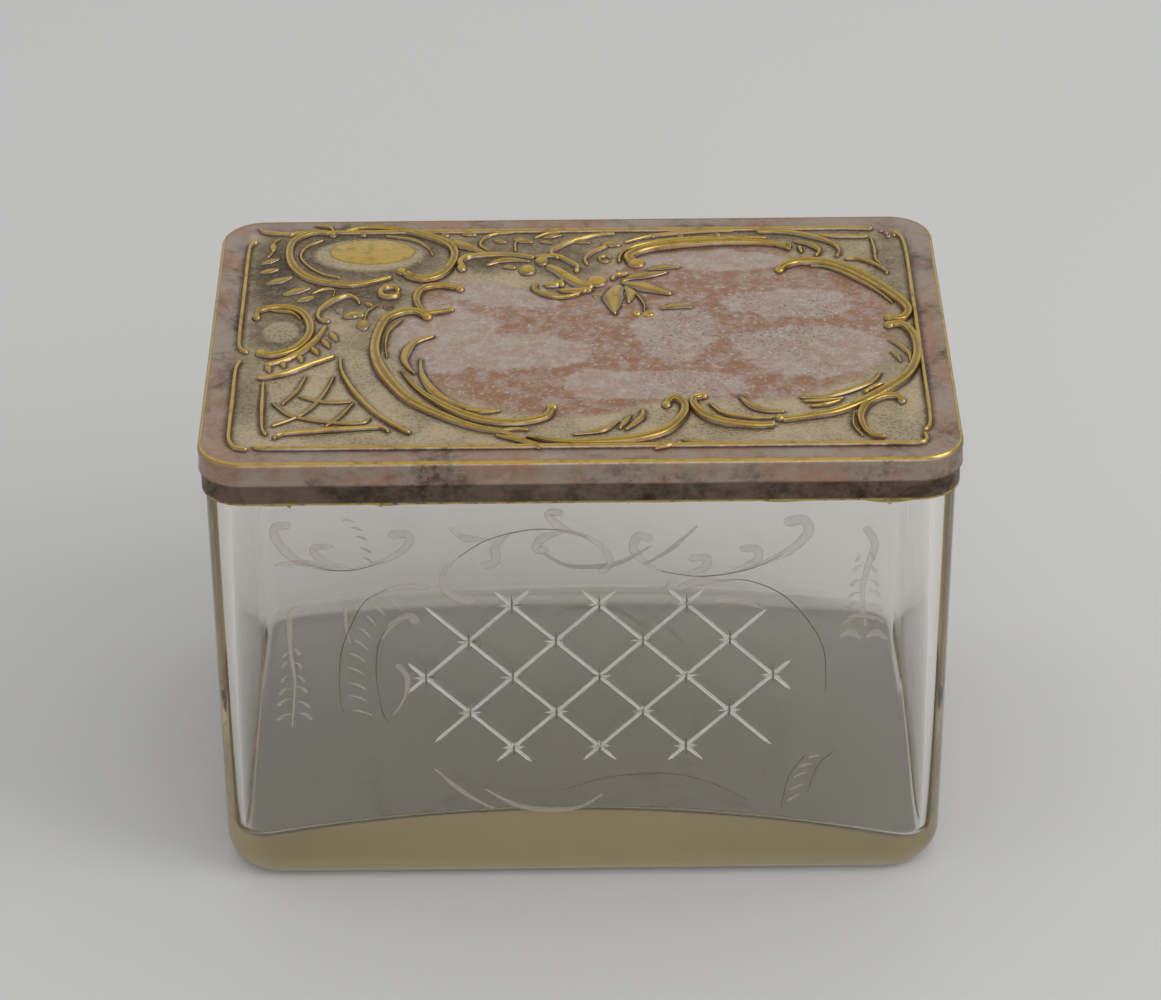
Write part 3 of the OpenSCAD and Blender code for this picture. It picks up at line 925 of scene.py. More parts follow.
def cartouche() -> list[Stroke]:
    """Scrolls that close round the smooth field.

    Returns:
        The strokes.
    """
    lip = Profile.LIPPED
    leaf = Profile.LEAF
    return [
        Stroke(((-33, 8.6), (-36, 11.4), (-41, 8.2), (-43, -2), (-42.2, -10.7), (-38.9, -19.8),
                (-35.1, -26.3),
                (-28.2, -32.8), (-22.9, -36.5), (-17.8, -38.6), (-13.1, -42.4), (-10, -44.5)),
                (0.8, 1.25, 0.4), 1.15, lip),
        Stroke(((-38, 7), (-40.5, 2), (-41, -4), (-40.6, -8.5)), (0.2, 0.4, 0.2), 0.6),
        Stroke(((-31.5, 0), (-35.5, -2.5), (-37.2, -8), (-36.4, -12), (-35, -15)), (0.3, 1.1, 0.25), 0.9,
               leaf),
        Stroke(((-34, -8.8), (-33.4, -16), (-30.2, -23.8), (-24.2, -29.2), (-18.2, -30.4)), (0.3, 1.1, 0.3),
               0.9, leaf),
        Stroke(((-8, -29.2), (-9.4, -33), (-14.6, -35), (-21.2, -34), (-27.5, -29.6), (-33.8, -22),
                (-37.8, -13.5)),
               (0.8, 1.1, 0.25), 1.0, lip),
        Stroke(((-25, -30), (-22, -31), (-19, -31)), (0.25, 0.5, 0.25), 0.7),
        Stroke(((14.6, -28.8), (16.1, -25.8), (18.1, -27.7), (18.1, -32.2), (15.2, -37.9), (11, -41),
                (5.4, -42.6), (-4.9, -42.8), (-13.1, -40.4)), (0.7, 1.2, 0.35), 1.15, lip),
        Stroke(((10, -30.5), (9.5, -34), (6.5, -38.6)), (0.35, 0.8, 0.3), 0.85, leaf),
        Stroke(((7.6, -33), (5.2, -38.2)), (0.3, 0.7, 0.3), 0.8, leaf),
        Stroke(((5.2, -35.3), (1.8, -38.8), (-4, -40.2)), (0.3, 0.75, 0.25), 0.8, leaf),
        Stroke(((22.2, -25.2), (20.3, -26.2), (20.4, -29.6), (22.7, -33.5), (26.4, -36.1), (32, -37.4),
                (36.3, -37.4)),
               (0.7, 1.05, 0.6), 1.15, lip),
        Stroke(((23.4, -28.8), (26, -32.8), (31.5, -34.8), (36, -35)), (0.25, 0.5, 0.25), 0.75),
        Stroke(((37.6, -35.4), (44.4, -33.8), (49.4, -32.1), (54.8, -28.3), (61.2, -22.2), (65.2, -16.8),
                (67.4, -10), (67.8, -3.9), (67, 1.3), (65, 4.6), (62.4, 4.2)), (0.6, 1.15, 0.8), 1.15, lip),
        Stroke(((29.7, -25.8), (31.2, -28.9), (34, -31.5), (38.5, -32.3)), (0.35, 0.85, 0.3), 0.85, leaf),
        Stroke(((41.9, -26.6), (47.2, -26.4), (52, -24.2), (57.2, -20.6), (59.4, -16.6)), (0.3, 0.8, 0.3),
               0.85, leaf),
        Stroke(((42.5, -28.4), (47, -28.3), (51, -27.4)), (0.25, 0.45, 0.25), 0.7),
        Stroke(((44, -30.6), (47.4, -29.8), (50.4, -28.2)), (0.25, 0.45, 0.25), 0.7),
        Stroke(((55.4, -25), (57.5, -22.8), (59.6, -21.4)), (0.5, 0.6, 0.4), 0.9),
        Stroke(((62.2, -3), (64.4, -5.5), (66, -9), (65.8, -12)), (0.25, 0.7, 0.25), 0.7, leaf),
        Stroke(((62.2, -8), (63.4, -10), (63.9, -12.2)), (0.25, 0.6, 0.25), 0.7, leaf),
        Stroke(((40.2, 28.6), (41.4, 30.8), (44.8, 32.9), (50.7, 32.2), (56.5, 27.8), (62, 21.1),
                (65.9, 14.7), (67, 10.7), (65.6, 7.4), (62.5, 7.4)), (0.8, 1.3, 0.8), 1.2, lip),
        Stroke(((47, 30.4), (51, 29.4), (55.3, 25.8), (60.4, 19.6), (63.8, 13.6)), (0.2, 0.4, 0.2), 0.7),
        Stroke(((9.4, 32.3), (8.3, 35), (11.6, 38.4), (18, 40.5), (25, 41.6), (32.8, 41.9), (39.6, 41),
                (43, 38.6)),
               (1.1, 1.15, 0.5), 1.1, lip),
        Stroke(((6.2, 32.5), (7, 36.4), (10.6, 39.8), (16.4, 41.9), (23, 43), (31, 43.4), (38, 43.2)),
               (0.35, 0.55, 0.3), 0.85),
        Stroke(((7.5, 41), (12, 43.5), (17, 45), (25, 46.2), (31, 46.5)), (0.25, 0.5, 0.3), 0.7),
        Stroke(((36, 46.4), (43, 46.1), (49, 43.6), (52.5, 40.8), (53.7, 37.4), (53, 35)),
               (0.35, 0.7, 0.35), 0.9),
        Stroke(((44, 41.8), (47, 40.8), (49.3, 38), (48.5, 35.3)), (0.35, 0.8, 0.3), 0.9, leaf),
        Stroke(((42.5, 41), (43.2, 39.2)), (0.5, 0.6, 0.3), 0.8),
        Stroke(((45, 39.5), (45.4, 36.9)), (0.5, 0.6, 0.3), 0.8),
    ]


def medallion() -> list[Stroke]:
    """Scrolled frame of the oval boss, and the ring and small scrolls under it.

    Returns:
        The strokes.
    """
    lip = Profile.LIPPED
    return [
        Stroke(((-53.4, 45.4), (-57.2, 45.6), (-60.6, 41.9), (-61.4, 36.5), (-60.4, 30.7), (-57.7, 26.1),
                (-54.1, 23.7), (-48.7, 22.5), (-44.7, 23.7), (-40.4, 26)), (0.6, 1.0, 0.4), 1.05, lip),
        Stroke(((-50.5, 45.6), (-49.1, 46.9), (-46.3, 48), (-39.5, 47), (-33.6, 44.2), (-29.3, 40.6),
                (-27.9, 35.6), (-29.1, 29.7), (-31.2, 26.4), (-34.1, 25), (-36.9, 26.4), (-38, 28.2)),
               (0.35, 0.95, 0.9), 1.05, lip),
        Stroke(((-26.5, 20.6), (-30.6, 22.1), (-34, 20.8), (-35.3, 17), (-34.8, 13.1), (-33.1, 10.3),
                (-28.1, 11.1)),
               (0.55, 0.85, 0.4), 0.95, lip),
        Stroke(((-46.6, 14.6), (-47.5, 16.7), (-49.3, 17.8), (-52.2, 15.4), (-54.4, 11.4), (-54.4, 8),
                (-52.8, 7)),
               (0.3, 0.7, 0.5), 0.9),
        Stroke(((-45.5, 14.3), (-44, 13.3)), (0.3, 0.5, 0.3), 0.7),
        Stroke(((-68, 47), (-66.2, 45.2), (-61, 44.8)), (0.3, 0.5, 0.3), 0.75),
        Stroke(((-56.5, 48.4), (-53.8, 47.8), (-52.8, 45.6)), (0.25, 0.45, 0.3), 0.7),
    ]


def left_panels() -> list[Stroke]:
    """Round scroll, notched band and fan panel on the left.

    Returns:
        The strokes.
    """
    thin = (0.25, 0.42, 0.25)
    leaf = Profile.LEAF
    ribs = (((-56, -16), (-57.5, -22), (-60, -27)), ((-50.5, -16), (-52.5, -24), (-56, -31), (-61.6, -35.6)),
            ((-62, -26.5), (-59, -31), (-55.5, -33), (-51.5, -34.3), (-48, -35), (-44.4, -34.8), (-43, -33)),
            ((-57, -24), (-52.5, -26.3), (-47, -26.5)), ((-46.5, -27), (-49, -32.4), (-51.5, -36)))
    notches = (((-52, 2), (-51.2, 0), (-50.5, -1.8)), ((-53.5, -1), (-52.6, -2.8), (-52, -4.6)),
               ((-55.5, -4), (-54.6, -5.8), (-54, -7.6)), ((-58, -7), (-57.4, -8.6), (-57, -10.4)),
               ((-61, -9.3), (-60.6, -11), (-60.3, -12.6)), ((-63.6, -11.4), (-63.3, -12.8), (-63, -14.4)))
    return [
        Stroke(((-66.6, 9), (-65.9, 11.8), (-62.1, 13.1), (-58.3, 11.3), (-56.2, 6.3), (-56.2, 0.7),
                (-58.6, -4.4), (-62.8, -6.9), (-65.2, -6)), (0.5, 0.95, 0.8), 1.0, Profile.LIPPED),
        Stroke(((-64, 11.2), (-60, 10.4), (-58, 7.5)), (0.2, 0.35, 0.2), 0.6),
        Stroke(((-53, 5), (-54.3, 0.4), (-56.8, -4.7), (-60.3, -8.8), (-64, -11)), (0.5, 0.9, 0.5), 0.85),
        *[Stroke(notch, (0.5, 0.8, 0.2), 0.5, leaf) for notch in notches],
        Stroke(((-65.2, -16.4), (-60.2, -14.5), (-55.3, -10.7), (-50.7, -7.5)), (0.4, 0.65, 0.4), 0.95),
        Stroke(((-64, -18), (-63.7, -30), (-63.3, -36.4), (-62.5, -38.4)), (0.4, 0.6, 0.4), 0.9),
        Stroke(((-61, -40), (-59.3, -38.3), (-52, -37.2), (-43, -36.4), (-40.5, -36.6), (-39.5, -38)),
               (0.35, 0.6, 0.35), 0.9),
        Stroke(((-49.6, -8.4), (-49.1, -14.1), (-46.3, -22.6), (-42.2, -30.6), (-38, -36), (-35.4, -38.6)),
               (0.4, 0.65, 0.5), 0.95),
        *[Stroke(rib, thin, 0.6, leaf) for rib in ribs],
        Stroke(((-18, -38.6), (-15.5, -38.1), (-12.6, -38.5)), thin, 0.6),
        Stroke(((-19, -40), (-14, -42.3), (-10.5, -45.4)), (0.25, 0.7, 0.25), 0.9, leaf),
    ]


def spray() -> list[Stroke]:
    """Leaves and buds on the left, under and beside the medallion; true places as seen.

    Returns:
        The strokes.
    """
    thin = (0.2, 0.3, 0.2)
    fine = (0.25, 0.4, 0.25)
    leaf = Profile.LEAF
    return [Stroke(points, half, rise, profile, drawn=False) for points, half, rise, profile in (
        (((-66.3, 33.3), (-64.5, 34.3), (-62.3, 35.6)), (0.25, 0.8, 0.25), 0.55, leaf),
        (((-66.3, 29.3), (-64.2, 30.2), (-62.2, 31)), (0.3, 1.0, 0.3), 0.6, leaf),
        (((-64.7, 24.4), (-62, 25.8), (-59.2, 27.6)), (0.4, 1.15, 0.3), 0.65, leaf),
        (((-61, 19.4), (-58.5, 21), (-55.3, 22.6)), (0.4, 1.2, 0.35), 0.65, leaf),
        (((-58, 16.4), (-56.4, 17.4), (-54.4, 18.6)), (0.4, 1.1, 0.4), 0.6, leaf),
        (((-55, 19.5), (-52.5, 21.5), (-50.5, 21), (-50.5, 18.5)), thin, 0.5, Profile.ROUND),
        (((-62.5, 44.5), (-63.5, 43.5), (-64, 41.9)), thin, 0.5, Profile.ROUND),
        (((-64.2, 42.8), (-64, 41), (-64, 39.3)), (0.3, 0.95, 0.35), 0.7, Profile.ROUND),
        (((-64, 39), (-64.2, 37.4), (-65, 36)), thin, 0.5, Profile.ROUND),
        (((-37.1, 21.2), (-37.9, 22.7), (-39.6, 22.6), (-40.8, 21), (-40.6, 19.2), (-39.2, 18.2),
          (-37.6, 18.9), (-37.1, 20.6)),
         (0.65, 0.75, 0.65), 0.9, Profile.ROUND),
        (((-48.2, 9.4), (-46, 10.6), (-43.8, 10.2)), (0.5, 1.35, 0.5), 0.8, Profile.ROUND),
        (((-43.8, 8), (-43.2, 11.5), (-41.5, 14)), thin, 0.55, Profile.ROUND),
        (((-53.5, 44), (-57, 40.5), (-58, 36), (-56, 31.5), (-53, 28.2), (-49.5, 26.6)), fine, 0.5,
         Profile.ROUND),
        (((-40.5, 45.5), (-34.5, 43.5), (-31.5, 40), (-30.4, 36.5)), fine, 0.5, Profile.ROUND),
        (((-28.7, 44), (-26, 42.8), (-22.5, 40.5), (-19, 37.6)), (0.6, 1.7, 0.2), 0.95, leaf),
        (((-24.4, 46.2), (-22.8, 46.5), (-21.2, 46.1)), (0.3, 1.1, 0.4), 0.7, leaf),
    )]


def branch() -> list[Stroke]:
    """Branch with leaves, sprigs and buds at the back; true places as seen.

    Returns:
        The strokes.
    """
    thin = (0.25, 0.38, 0.2)
    small = (0.3, 0.95, 0.3)
    leaf = Profile.LEAF
    plain = Profile.ROUND
    return [Stroke(points, half, rise, profile, drawn=False) for points, half, rise, profile in (
        (((-24, 31.5), (-24.6, 34), (-23, 36.3), (-19.5, 37), (-16, 37.3), (-12, 36.6), (-9, 35.6)),
         (1.0, 0.7, 0.45), 1.0, plain),
        (((-9, 35.8), (-4.5, 36), (-2, 33.7), (0, 31), (-0.5, 28.8)), (0.4, 0.6, 0.65), 0.85, plain),
        (((-19, 32), (-16.5, 33.8), (-13.5, 34.4), (-10, 33.5)), small, 0.7, leaf),
        (((-19, 38.8), (-20.4, 41), (-19.5, 44.3), (-17, 46.2), (-13.5, 46.7)), (0.3, 0.45, 0.2), 0.6, plain),
        (((-13.5, 43.6), (-11.5, 43.2), (-9.4, 42.3)), (0.3, 1.2, 0.3), 0.65, leaf),
        (((-13, 38), (-13, 41.5), (-12, 43)), thin, 0.5, plain),
        (((-17.6, 43), (-16, 42.6), (-14.8, 42.4)), small, 0.5, leaf),
        (((-9, 44), (-6.5, 46), (-3.5, 46.6)), thin, 0.5, plain),
        (((-7.2, 44.2), (-5, 44.9), (-3.2, 45.2)), (0.2, 0.7, 0.2), 0.55, leaf),
        (((-7.8, 42), (-6.5, 42.1), (-5.2, 41.6)), (0.2, 0.7, 0.2), 0.5, leaf),
        (((-4, 35), (-5.5, 37.5), (-4, 40), (-1, 42.8), (2.5, 44.8), (6, 46), (8, 45.9)), (0.5, 0.65, 0.35),
         0.8, plain),
        (((-1.2, 42.2), (1, 42.4), (2.8, 41.6)), small, 0.6, leaf),
        (((5.2, 40.6), (7, 41.3), (9, 40.6)), (0.5, 1.3, 0.5), 0.75, leaf),
        (((6.4, 40.4), (3.2, 37.5), (1.6, 34.5), (2, 32)), (0.45, 0.6, 0.4), 0.75, plain),
        (((-15.6, 31), (-14.3, 31.1), (-12.9, 30.6)), (0.4, 0.8, 0.4), 0.65, leaf),
        (((7, 34.3), (6, 35.4), (4.7, 34.6), (5, 33), (6.6, 32.8)), (0.3, 0.38, 0.3), 0.5, plain),
        (((-6.5, 31.8), (-4, 29.5), (-2, 26.5), (0.5, 23.6), (3.4, 22.4)), (0.9, 1.5, 1.5), 1.05, plain),
        (((-7, 23), (-4.5, 23.2), (-3, 25.2)), (0.6, 0.85, 0.5), 0.95, plain),
        (((-4, 20.4), (-0.5, 20.3), (3, 20.4)), (0.45, 0.85, 0.8), 0.9, plain),
        (((-8.6, 23.6), (-9, 20.8), (-7.5, 18.5), (-5.5, 17.2), (-2.5, 17.2), (0.5, 18.7)),
         (0.5, 0.65, 0.3), 0.85, Profile.LIPPED),
        (((7, 24.8), (8.5, 26.8), (10.5, 27)), (0.5, 0.5, 0.45), 0.9, plain),
        (((9, 23.6), (11.5, 25.4), (15, 26.2), (18.7, 27.2)), (0.3, 1.4, 0.3), 0.8, leaf),
        (((14.4, 28.5), (17.5, 29.2), (21.2, 29)), (0.3, 1.1, 0.2), 0.55, leaf),
        (((9, 23.2), (12.5, 21.4), (16, 19.3), (19.2, 17.4)), (0.4, 2.1, 0.5), 1.0, leaf),
        (((8.7, 22), (7.3, 18), (7.3, 13), (7.5, 8.8)), (1.3, 2.3, 0.3), 1.0, leaf),
        (((9.6, 20.8), (11, 17.6), (10.3, 13.4)), (0.4, 1.3, 0.3), 0.65, leaf),
        (((10, 18.5), (12, 16.5), (13.5, 12), (13.5, 9.3)), (0.2, 0.3, 0.2), 0.55, plain),
        (((16.8, 10.4), (20, 11.3), (23.3, 10.5)), (0.3, 1.1, 0.2), 0.65, leaf),
    )]


def right_corners() -> list[Stroke]:
    """Scrolls in the corners on the right.

    Returns:
        The strokes.
    """
    thin = (0.3, 0.5, 0.3)
    return [
        Stroke(((63.1, -28.6), (62, -26.6), (59.4, -26.5), (56, -29.1), (54.1, -34), (54.5, -39.4),
                (56.3, -42.4), (58.6, -43)),
               (0.7, 0.9, 0.4), 1.0, Profile.LIPPED),
        Stroke(((52.8, -33), (52.4, -38.6), (54, -43)), (0.2, 0.35, 0.2), 0.6),
        Stroke(((49.6, 44.4), (55, 44.1), (60.4, 43.9)), thin, 0.75),
        Stroke(((61, 43.6), (61.5, 38), (61.5, 33.5), (62.4, 31)), thin, 0.75),
        Stroke(((54.6, 33.6), (57.5, 33.7), (61, 31.2), (63.5, 27.8), (63.3, 26.8)), thin, 0.75),
    ]


def frame_rolls() -> list[Stroke]:
    """The roll that frames the panel, in lengths that end in small hooks.

    Returns:
        The strokes.
    """
    even = (0.5, 0.58, 0.5)
    return [
        Stroke(((-67.3, 43.6), (-68.6, 42.4), (-69, 38), (-69, 20), (-69, 2), (-68.6, -3.6), (-67, -5.6)),
               even, 0.75, drawn=False),
        Stroke(((-68.2, -9), (-69, -13), (-69, -25), (-69, -36), (-68.8, -41.4), (-67.5, -44.4),
                (-65, -45.3)), even, 0.75, drawn=False),
        Stroke(((-64, -44.4), (-60, -45), (-40, -45), (-20, -45), (0, -45), (20, -45), (40, -45), (60, -45),
                (65.6, -45), (67.6, -43.8), (67.4, -41)), even, 0.75, drawn=False),
        Stroke(((66.8, 45.4), (68.4, 43), (69, 36), (69, 18), (69, 0), (69, -18), (69, -32), (68.6, -38),
                (67.4, -40)), even, 0.75, drawn=False),
        Stroke(((-61, 46.6), (-57, 47.5), (-40, 47.6), (-20, 47.6), (0, 47.6), (20, 47.6), (40, 47.6),
                (56, 47.7), (62.6, 47.2)),
               even, 0.75, drawn=False),
        Stroke(((12, -46.4), (14.5, -45.2), (17.4, -44)), (0.25, 0.6, 0.25), 0.9, Profile.LEAF),
        Stroke(((17.5, -43), (20, -44), (23.4, -44.6)), (0.25, 0.6, 0.25), 0.9, Profile.LEAF),
    ]


BEADS: tuple[tuple[float, float, float, float, float], ...] = (
    (-38.6, 28.4, 1.3, 1.3, 1.0), (-30, 44.4, 1.1, 0.9, 0.7), (9.9, 32, 2.0, 1.8, 1.1),
    (13.5, 43.9, 0.8, 0.7, 0.6),
    (19.5, 43.9, 0.8, 0.7, 0.6), (27.5, 44.6, 0.8, 0.7, 0.6), (-65, -5.8, 1.4, 1.4, 1.0),
    (-18, -38.7, 0.8, 0.8, 0.7),
    (37.4, -34.6, 1.1, 1.1, 1.1), (62.5, 4.2, 1.2, 1.2, 1.1), (63.5, 46.7, 0.7, 0.7, 0.6),
    (64.6, 45.6, 0.7, 0.7, 0.6),
    (65, 44, 0.6, 0.6, 0.6), (66.3, 44.6, 0.6, 0.6, 0.6), (40.2, 28.4, 1.1, 1.1, 1.0),
    (62.6, 7.2, 1.1, 1.1, 1.0),
    (-8, -29.2, 1.2, 1.1, 1.0), (14.7, -28.8, 1.1, 1.1, 1.0), (22.3, -25.3, 1.0, 1.0, 1.0),
    (-33, 8.7, 1.2, 1.2, 1.0),
    (63, -28.4, 1.0, 1.0, 0.9), (-26.6, 20.5, 1.1, 1.1, 0.9), (-28.3, 11.2, 0.8, 0.8, 0.7),
    (-52.8, 7.2, 0.9, 0.9, 0.8),
    (-66.6, 9, 1.0, 1.1, 1.0),
)
"""Knobs of the relief in millimetres: place in the drawing, half width, half depth and rise."""


BUDS: tuple[tuple[float, float, float, float, float], ...] = (
    (-44, 6.2, 1.5, 2.3, 0.8), (-39, 13.5, 1.3, 1.6, 0.45), (-49, 12, 1.0, 1.5, 0.45),
    (-7.5, 34, 1.6, 2.1, 1.0),
    (-10.5, 30.2, 2.0, 2.2, 1.1), (4, 24.8, 2.3, 2.4, 1.15), (12, 8.6, 0.9, 0.9, 0.6),
    (14.3, 8.2, 1.3, 1.0, 0.6),
    (3.5, 17, 0.6, 0.9, 0.5), (-24.2, 31.2, 1.2, 1.4, 1.1), (-3.4, 23.4, 0.9, 1.0, 1.0),
    (1.2, 20.4, 0.9, 1.0, 1.0),
    (-45.2, 46.4, 0.8, 0.9, 0.7), (-51.6, 46.6, 1.0, 1.1, 0.8),
)
"""Buds and berries in millimetres: true place as seen, half width, half depth and rise."""


@dataclass(frozen=True)
class Line:
    """Middle line of a roll.

    Attributes:
        profile: the roll's cross section.
        points: places in metres.
        half: half width at each point.
        rise: height at each point.
    """

    profile: Profile
    points: np.ndarray
    half: np.ndarray
    rise: np.ndarray


def lay_line(stroke: Stroke, step: float, place: Callable[..., tuple[Any, Any]]) -> Line:
    """Works out a stroke's middle line, with ends that are rounded off.

    Args:
        stroke: the stroke.
        step: distance between points in millimetres.
        place: gives true places for places of the drawing and a rise.

    Returns:
        The line in metres.
    """
    midway, narrowest, least = 0.45, 0.3, 0.02
    path = smooth_path(stroke.points, step)
    run = np.concatenate([[0], np.cumsum(np.linalg.norm(np.diff(path, axis=0), axis=1))])
    half = np.interp(run / run[-1], (0, midway, 1), stroke.half)
    blunt = np.clip(np.minimum(run, run[-1] - run) / np.maximum(half, narrowest), least, 1)
    taper = np.sqrt(blunt * (2 - blunt))
    rise = stroke.rise * np.clip(half / max(stroke.half), 0.45, 1) ** 0.5 * taper
    true = np.stack(place(path[:, 0], path[:, 1], stroke.rise), 1)
    return Line(stroke.profile, true * MM, half * taper * MM, rise * MM)


def roll_tree() -> GeometryTree:
    """Builds the tree that sweeps a cross section along lines and lays it on a ground.

    Returns:
        The tree; the mesh that goes in holds the lines as edges, with the values half and rise at each point.
    """
    tree = GeometryTree("roll_on_ground", {"Profile": ("NodeSocketObject", None),
                                           "Ground": ("NodeSocketObject", None),
                                           "Material": ("NodeSocketMaterial", None)})
    g = tree.start.outputs
    rail = tree.add("GeometryNodeMeshToCurve", {"Mesh": g["Geometry"]}).outputs[0]
    rail = tree.add("GeometryNodeSetCurveNormal", {"Curve": rail}, mode="Z_UP").outputs[0]
    keep_rail = tree.add("GeometryNodeCaptureAttribute", {"Geometry": rail}, domain="POINT")
    for kind in ("VECTOR", "VECTOR", "FLOAT", "FLOAT"):
        keep_rail.capture_items.new(kind, "kept")
    fields = (tree.add("GeometryNodeInputPosition").outputs[0],
              tree.add("GeometryNodeInputTangent").outputs[0],
              tree.named("half"), tree.named("rise"))
    for k, value in enumerate(fields):
        tree.put(keep_rail.inputs[1 + k], value)
    shape = tree.add("GeometryNodeObjectInfo", {"Object": g["Profile"]}).outputs["Geometry"]
    shape = tree.add("GeometryNodeMeshToCurve", {"Mesh": shape}).outputs[0]
    keep_shape = tree.add("GeometryNodeCaptureAttribute", {"Geometry": shape}, domain="POINT")
    keep_shape.capture_items.new("VECTOR", "kept")
    tree.put(keep_shape.inputs[1], tree.add("GeometryNodeInputPosition").outputs[0])
    swept = tree.add("GeometryNodeCurveToMesh", {"Curve": keep_rail.outputs[0],
                                                 "Profile Curve": keep_shape.outputs[0],
                                                 "Fill Caps": True}).outputs[0]
    at, along, half, rise = keep_rail.outputs[1:5]
    part = tree.add("ShaderNodeSeparateXYZ", {0: keep_shape.outputs[1]}).outputs
    heading = tree.add("ShaderNodeSeparateXYZ", {0: along}).outputs
    side = tree.add("ShaderNodeCombineXYZ", {"X": heading["Y"],
                                             "Y": tree.math("MULTIPLY", heading["X"], -1.0)}).outputs[0]
    across = tree.add("ShaderNodeVectorMath", {0: side, "Scale": tree.math("MULTIPLY", part["X"], half)},
                      operation="SCALE").outputs[0]
    place = tree.add("ShaderNodeVectorMath", {0: at, 1: across}, operation="ADD").outputs[0]
    spot = tree.add("ShaderNodeSeparateXYZ", {0: place}).outputs
    high = tree.add("ShaderNodeCombineXYZ", {"X": spot["X"], "Y": spot["Y"], "Z": 1.0}).outputs[0]
    ground = tree.add("GeometryNodeObjectInfo", {"Object": g["Ground"]}).outputs["Geometry"]
    ray = tree.add("GeometryNodeRaycast", {"Target Geometry": ground, "Source Position": high,
                                           "Ray Direction": (0.0, 0.0, -1.0), "Ray Length": 2.0})
    base = tree.add("ShaderNodeSeparateXYZ", {0: ray.outputs["Hit Position"]}).outputs["Z"]
    level = tree.math("ADD", base, tree.math("MULTIPLY", part["Y"], rise))
    final = tree.add("ShaderNodeCombineXYZ", {"X": spot["X"], "Y": spot["Y"], "Z": level}).outputs[0]
    moved = tree.add("GeometryNodeSetPosition", {"Geometry": swept, "Position": final}).outputs[0]
    # crest is the height on the cross section; the other value is painted shade, dark at the roll's foot and
    # none on its top
    marks = {"crest": part["Y"], "recess": tree.math("SUBTRACT", 0.75, tree.math("MULTIPLY", part["Y"], 2.0))}
    for name, value in marks.items():
        moved = tree.add("GeometryNodeStoreNamedAttribute", {"Geometry": moved, "Name": name, "Value": value},
                         data_type="FLOAT", domain="POINT").outputs[0]
    smooth = tree.add("GeometryNodeSetShadeSmooth", {"Geometry": moved, "Shade Smooth": True}).outputs[0]
    tree.finish(smooth, g["Material"])
    return tree


def sweep(name: str, lines: Sequence[Line], level: float, ground: Object, material: Material) -> Object:
    """Sweeps lines that share one cross section.

    Args:
        name: name of the piece.
        lines: the middle lines.
        level: height of the lines.
        ground: what the rolls lie on.
        material: their finish.

    Returns:
        The rolls as one mesh.
    """
    edges, first = [], 0
    for line in lines:
        edges += [(first + i, first + i + 1) for i in range(len(line.points) - 1)]
        first += len(line.points)
    points = np.vstack([line.points for line in lines])
    rail = make_object(name, np.column_stack([points, np.full(len(points), level)]), [], edges)
    set_values(rail, "half", np.concatenate([line.half for line in lines]))
    set_values(rail, "rise", np.concatenate([line.rise for line in lines]))
    corners = [(x, y, 0.0) for x, y in lines[0].profile.value]
    shape = make_object("profile", corners, [], [(i, (i + 1) % len(corners)) for i in range(len(corners))])
    roll_tree().run(rail, {"Profile": shape, "Ground": ground, "Material": material})
    bpy.data.objects.remove(shape)
    turn_outwards(rail)
    return rail


def turn_outwards(obj: Object) -> None:
    """Merges doubled points and turns every face of closed shapes outwards.

    Args:
        obj: the object.
    """
    mesh = bmesh.new()
    mesh.from_mesh(obj.data)
    bmesh.ops.remove_doubles(mesh, verts=mesh.verts, dist=1e-7)
    bmesh.ops.recalc_face_normals(mesh, faces=mesh.faces)
    mesh.to_mesh(obj.data)
    mesh.free()


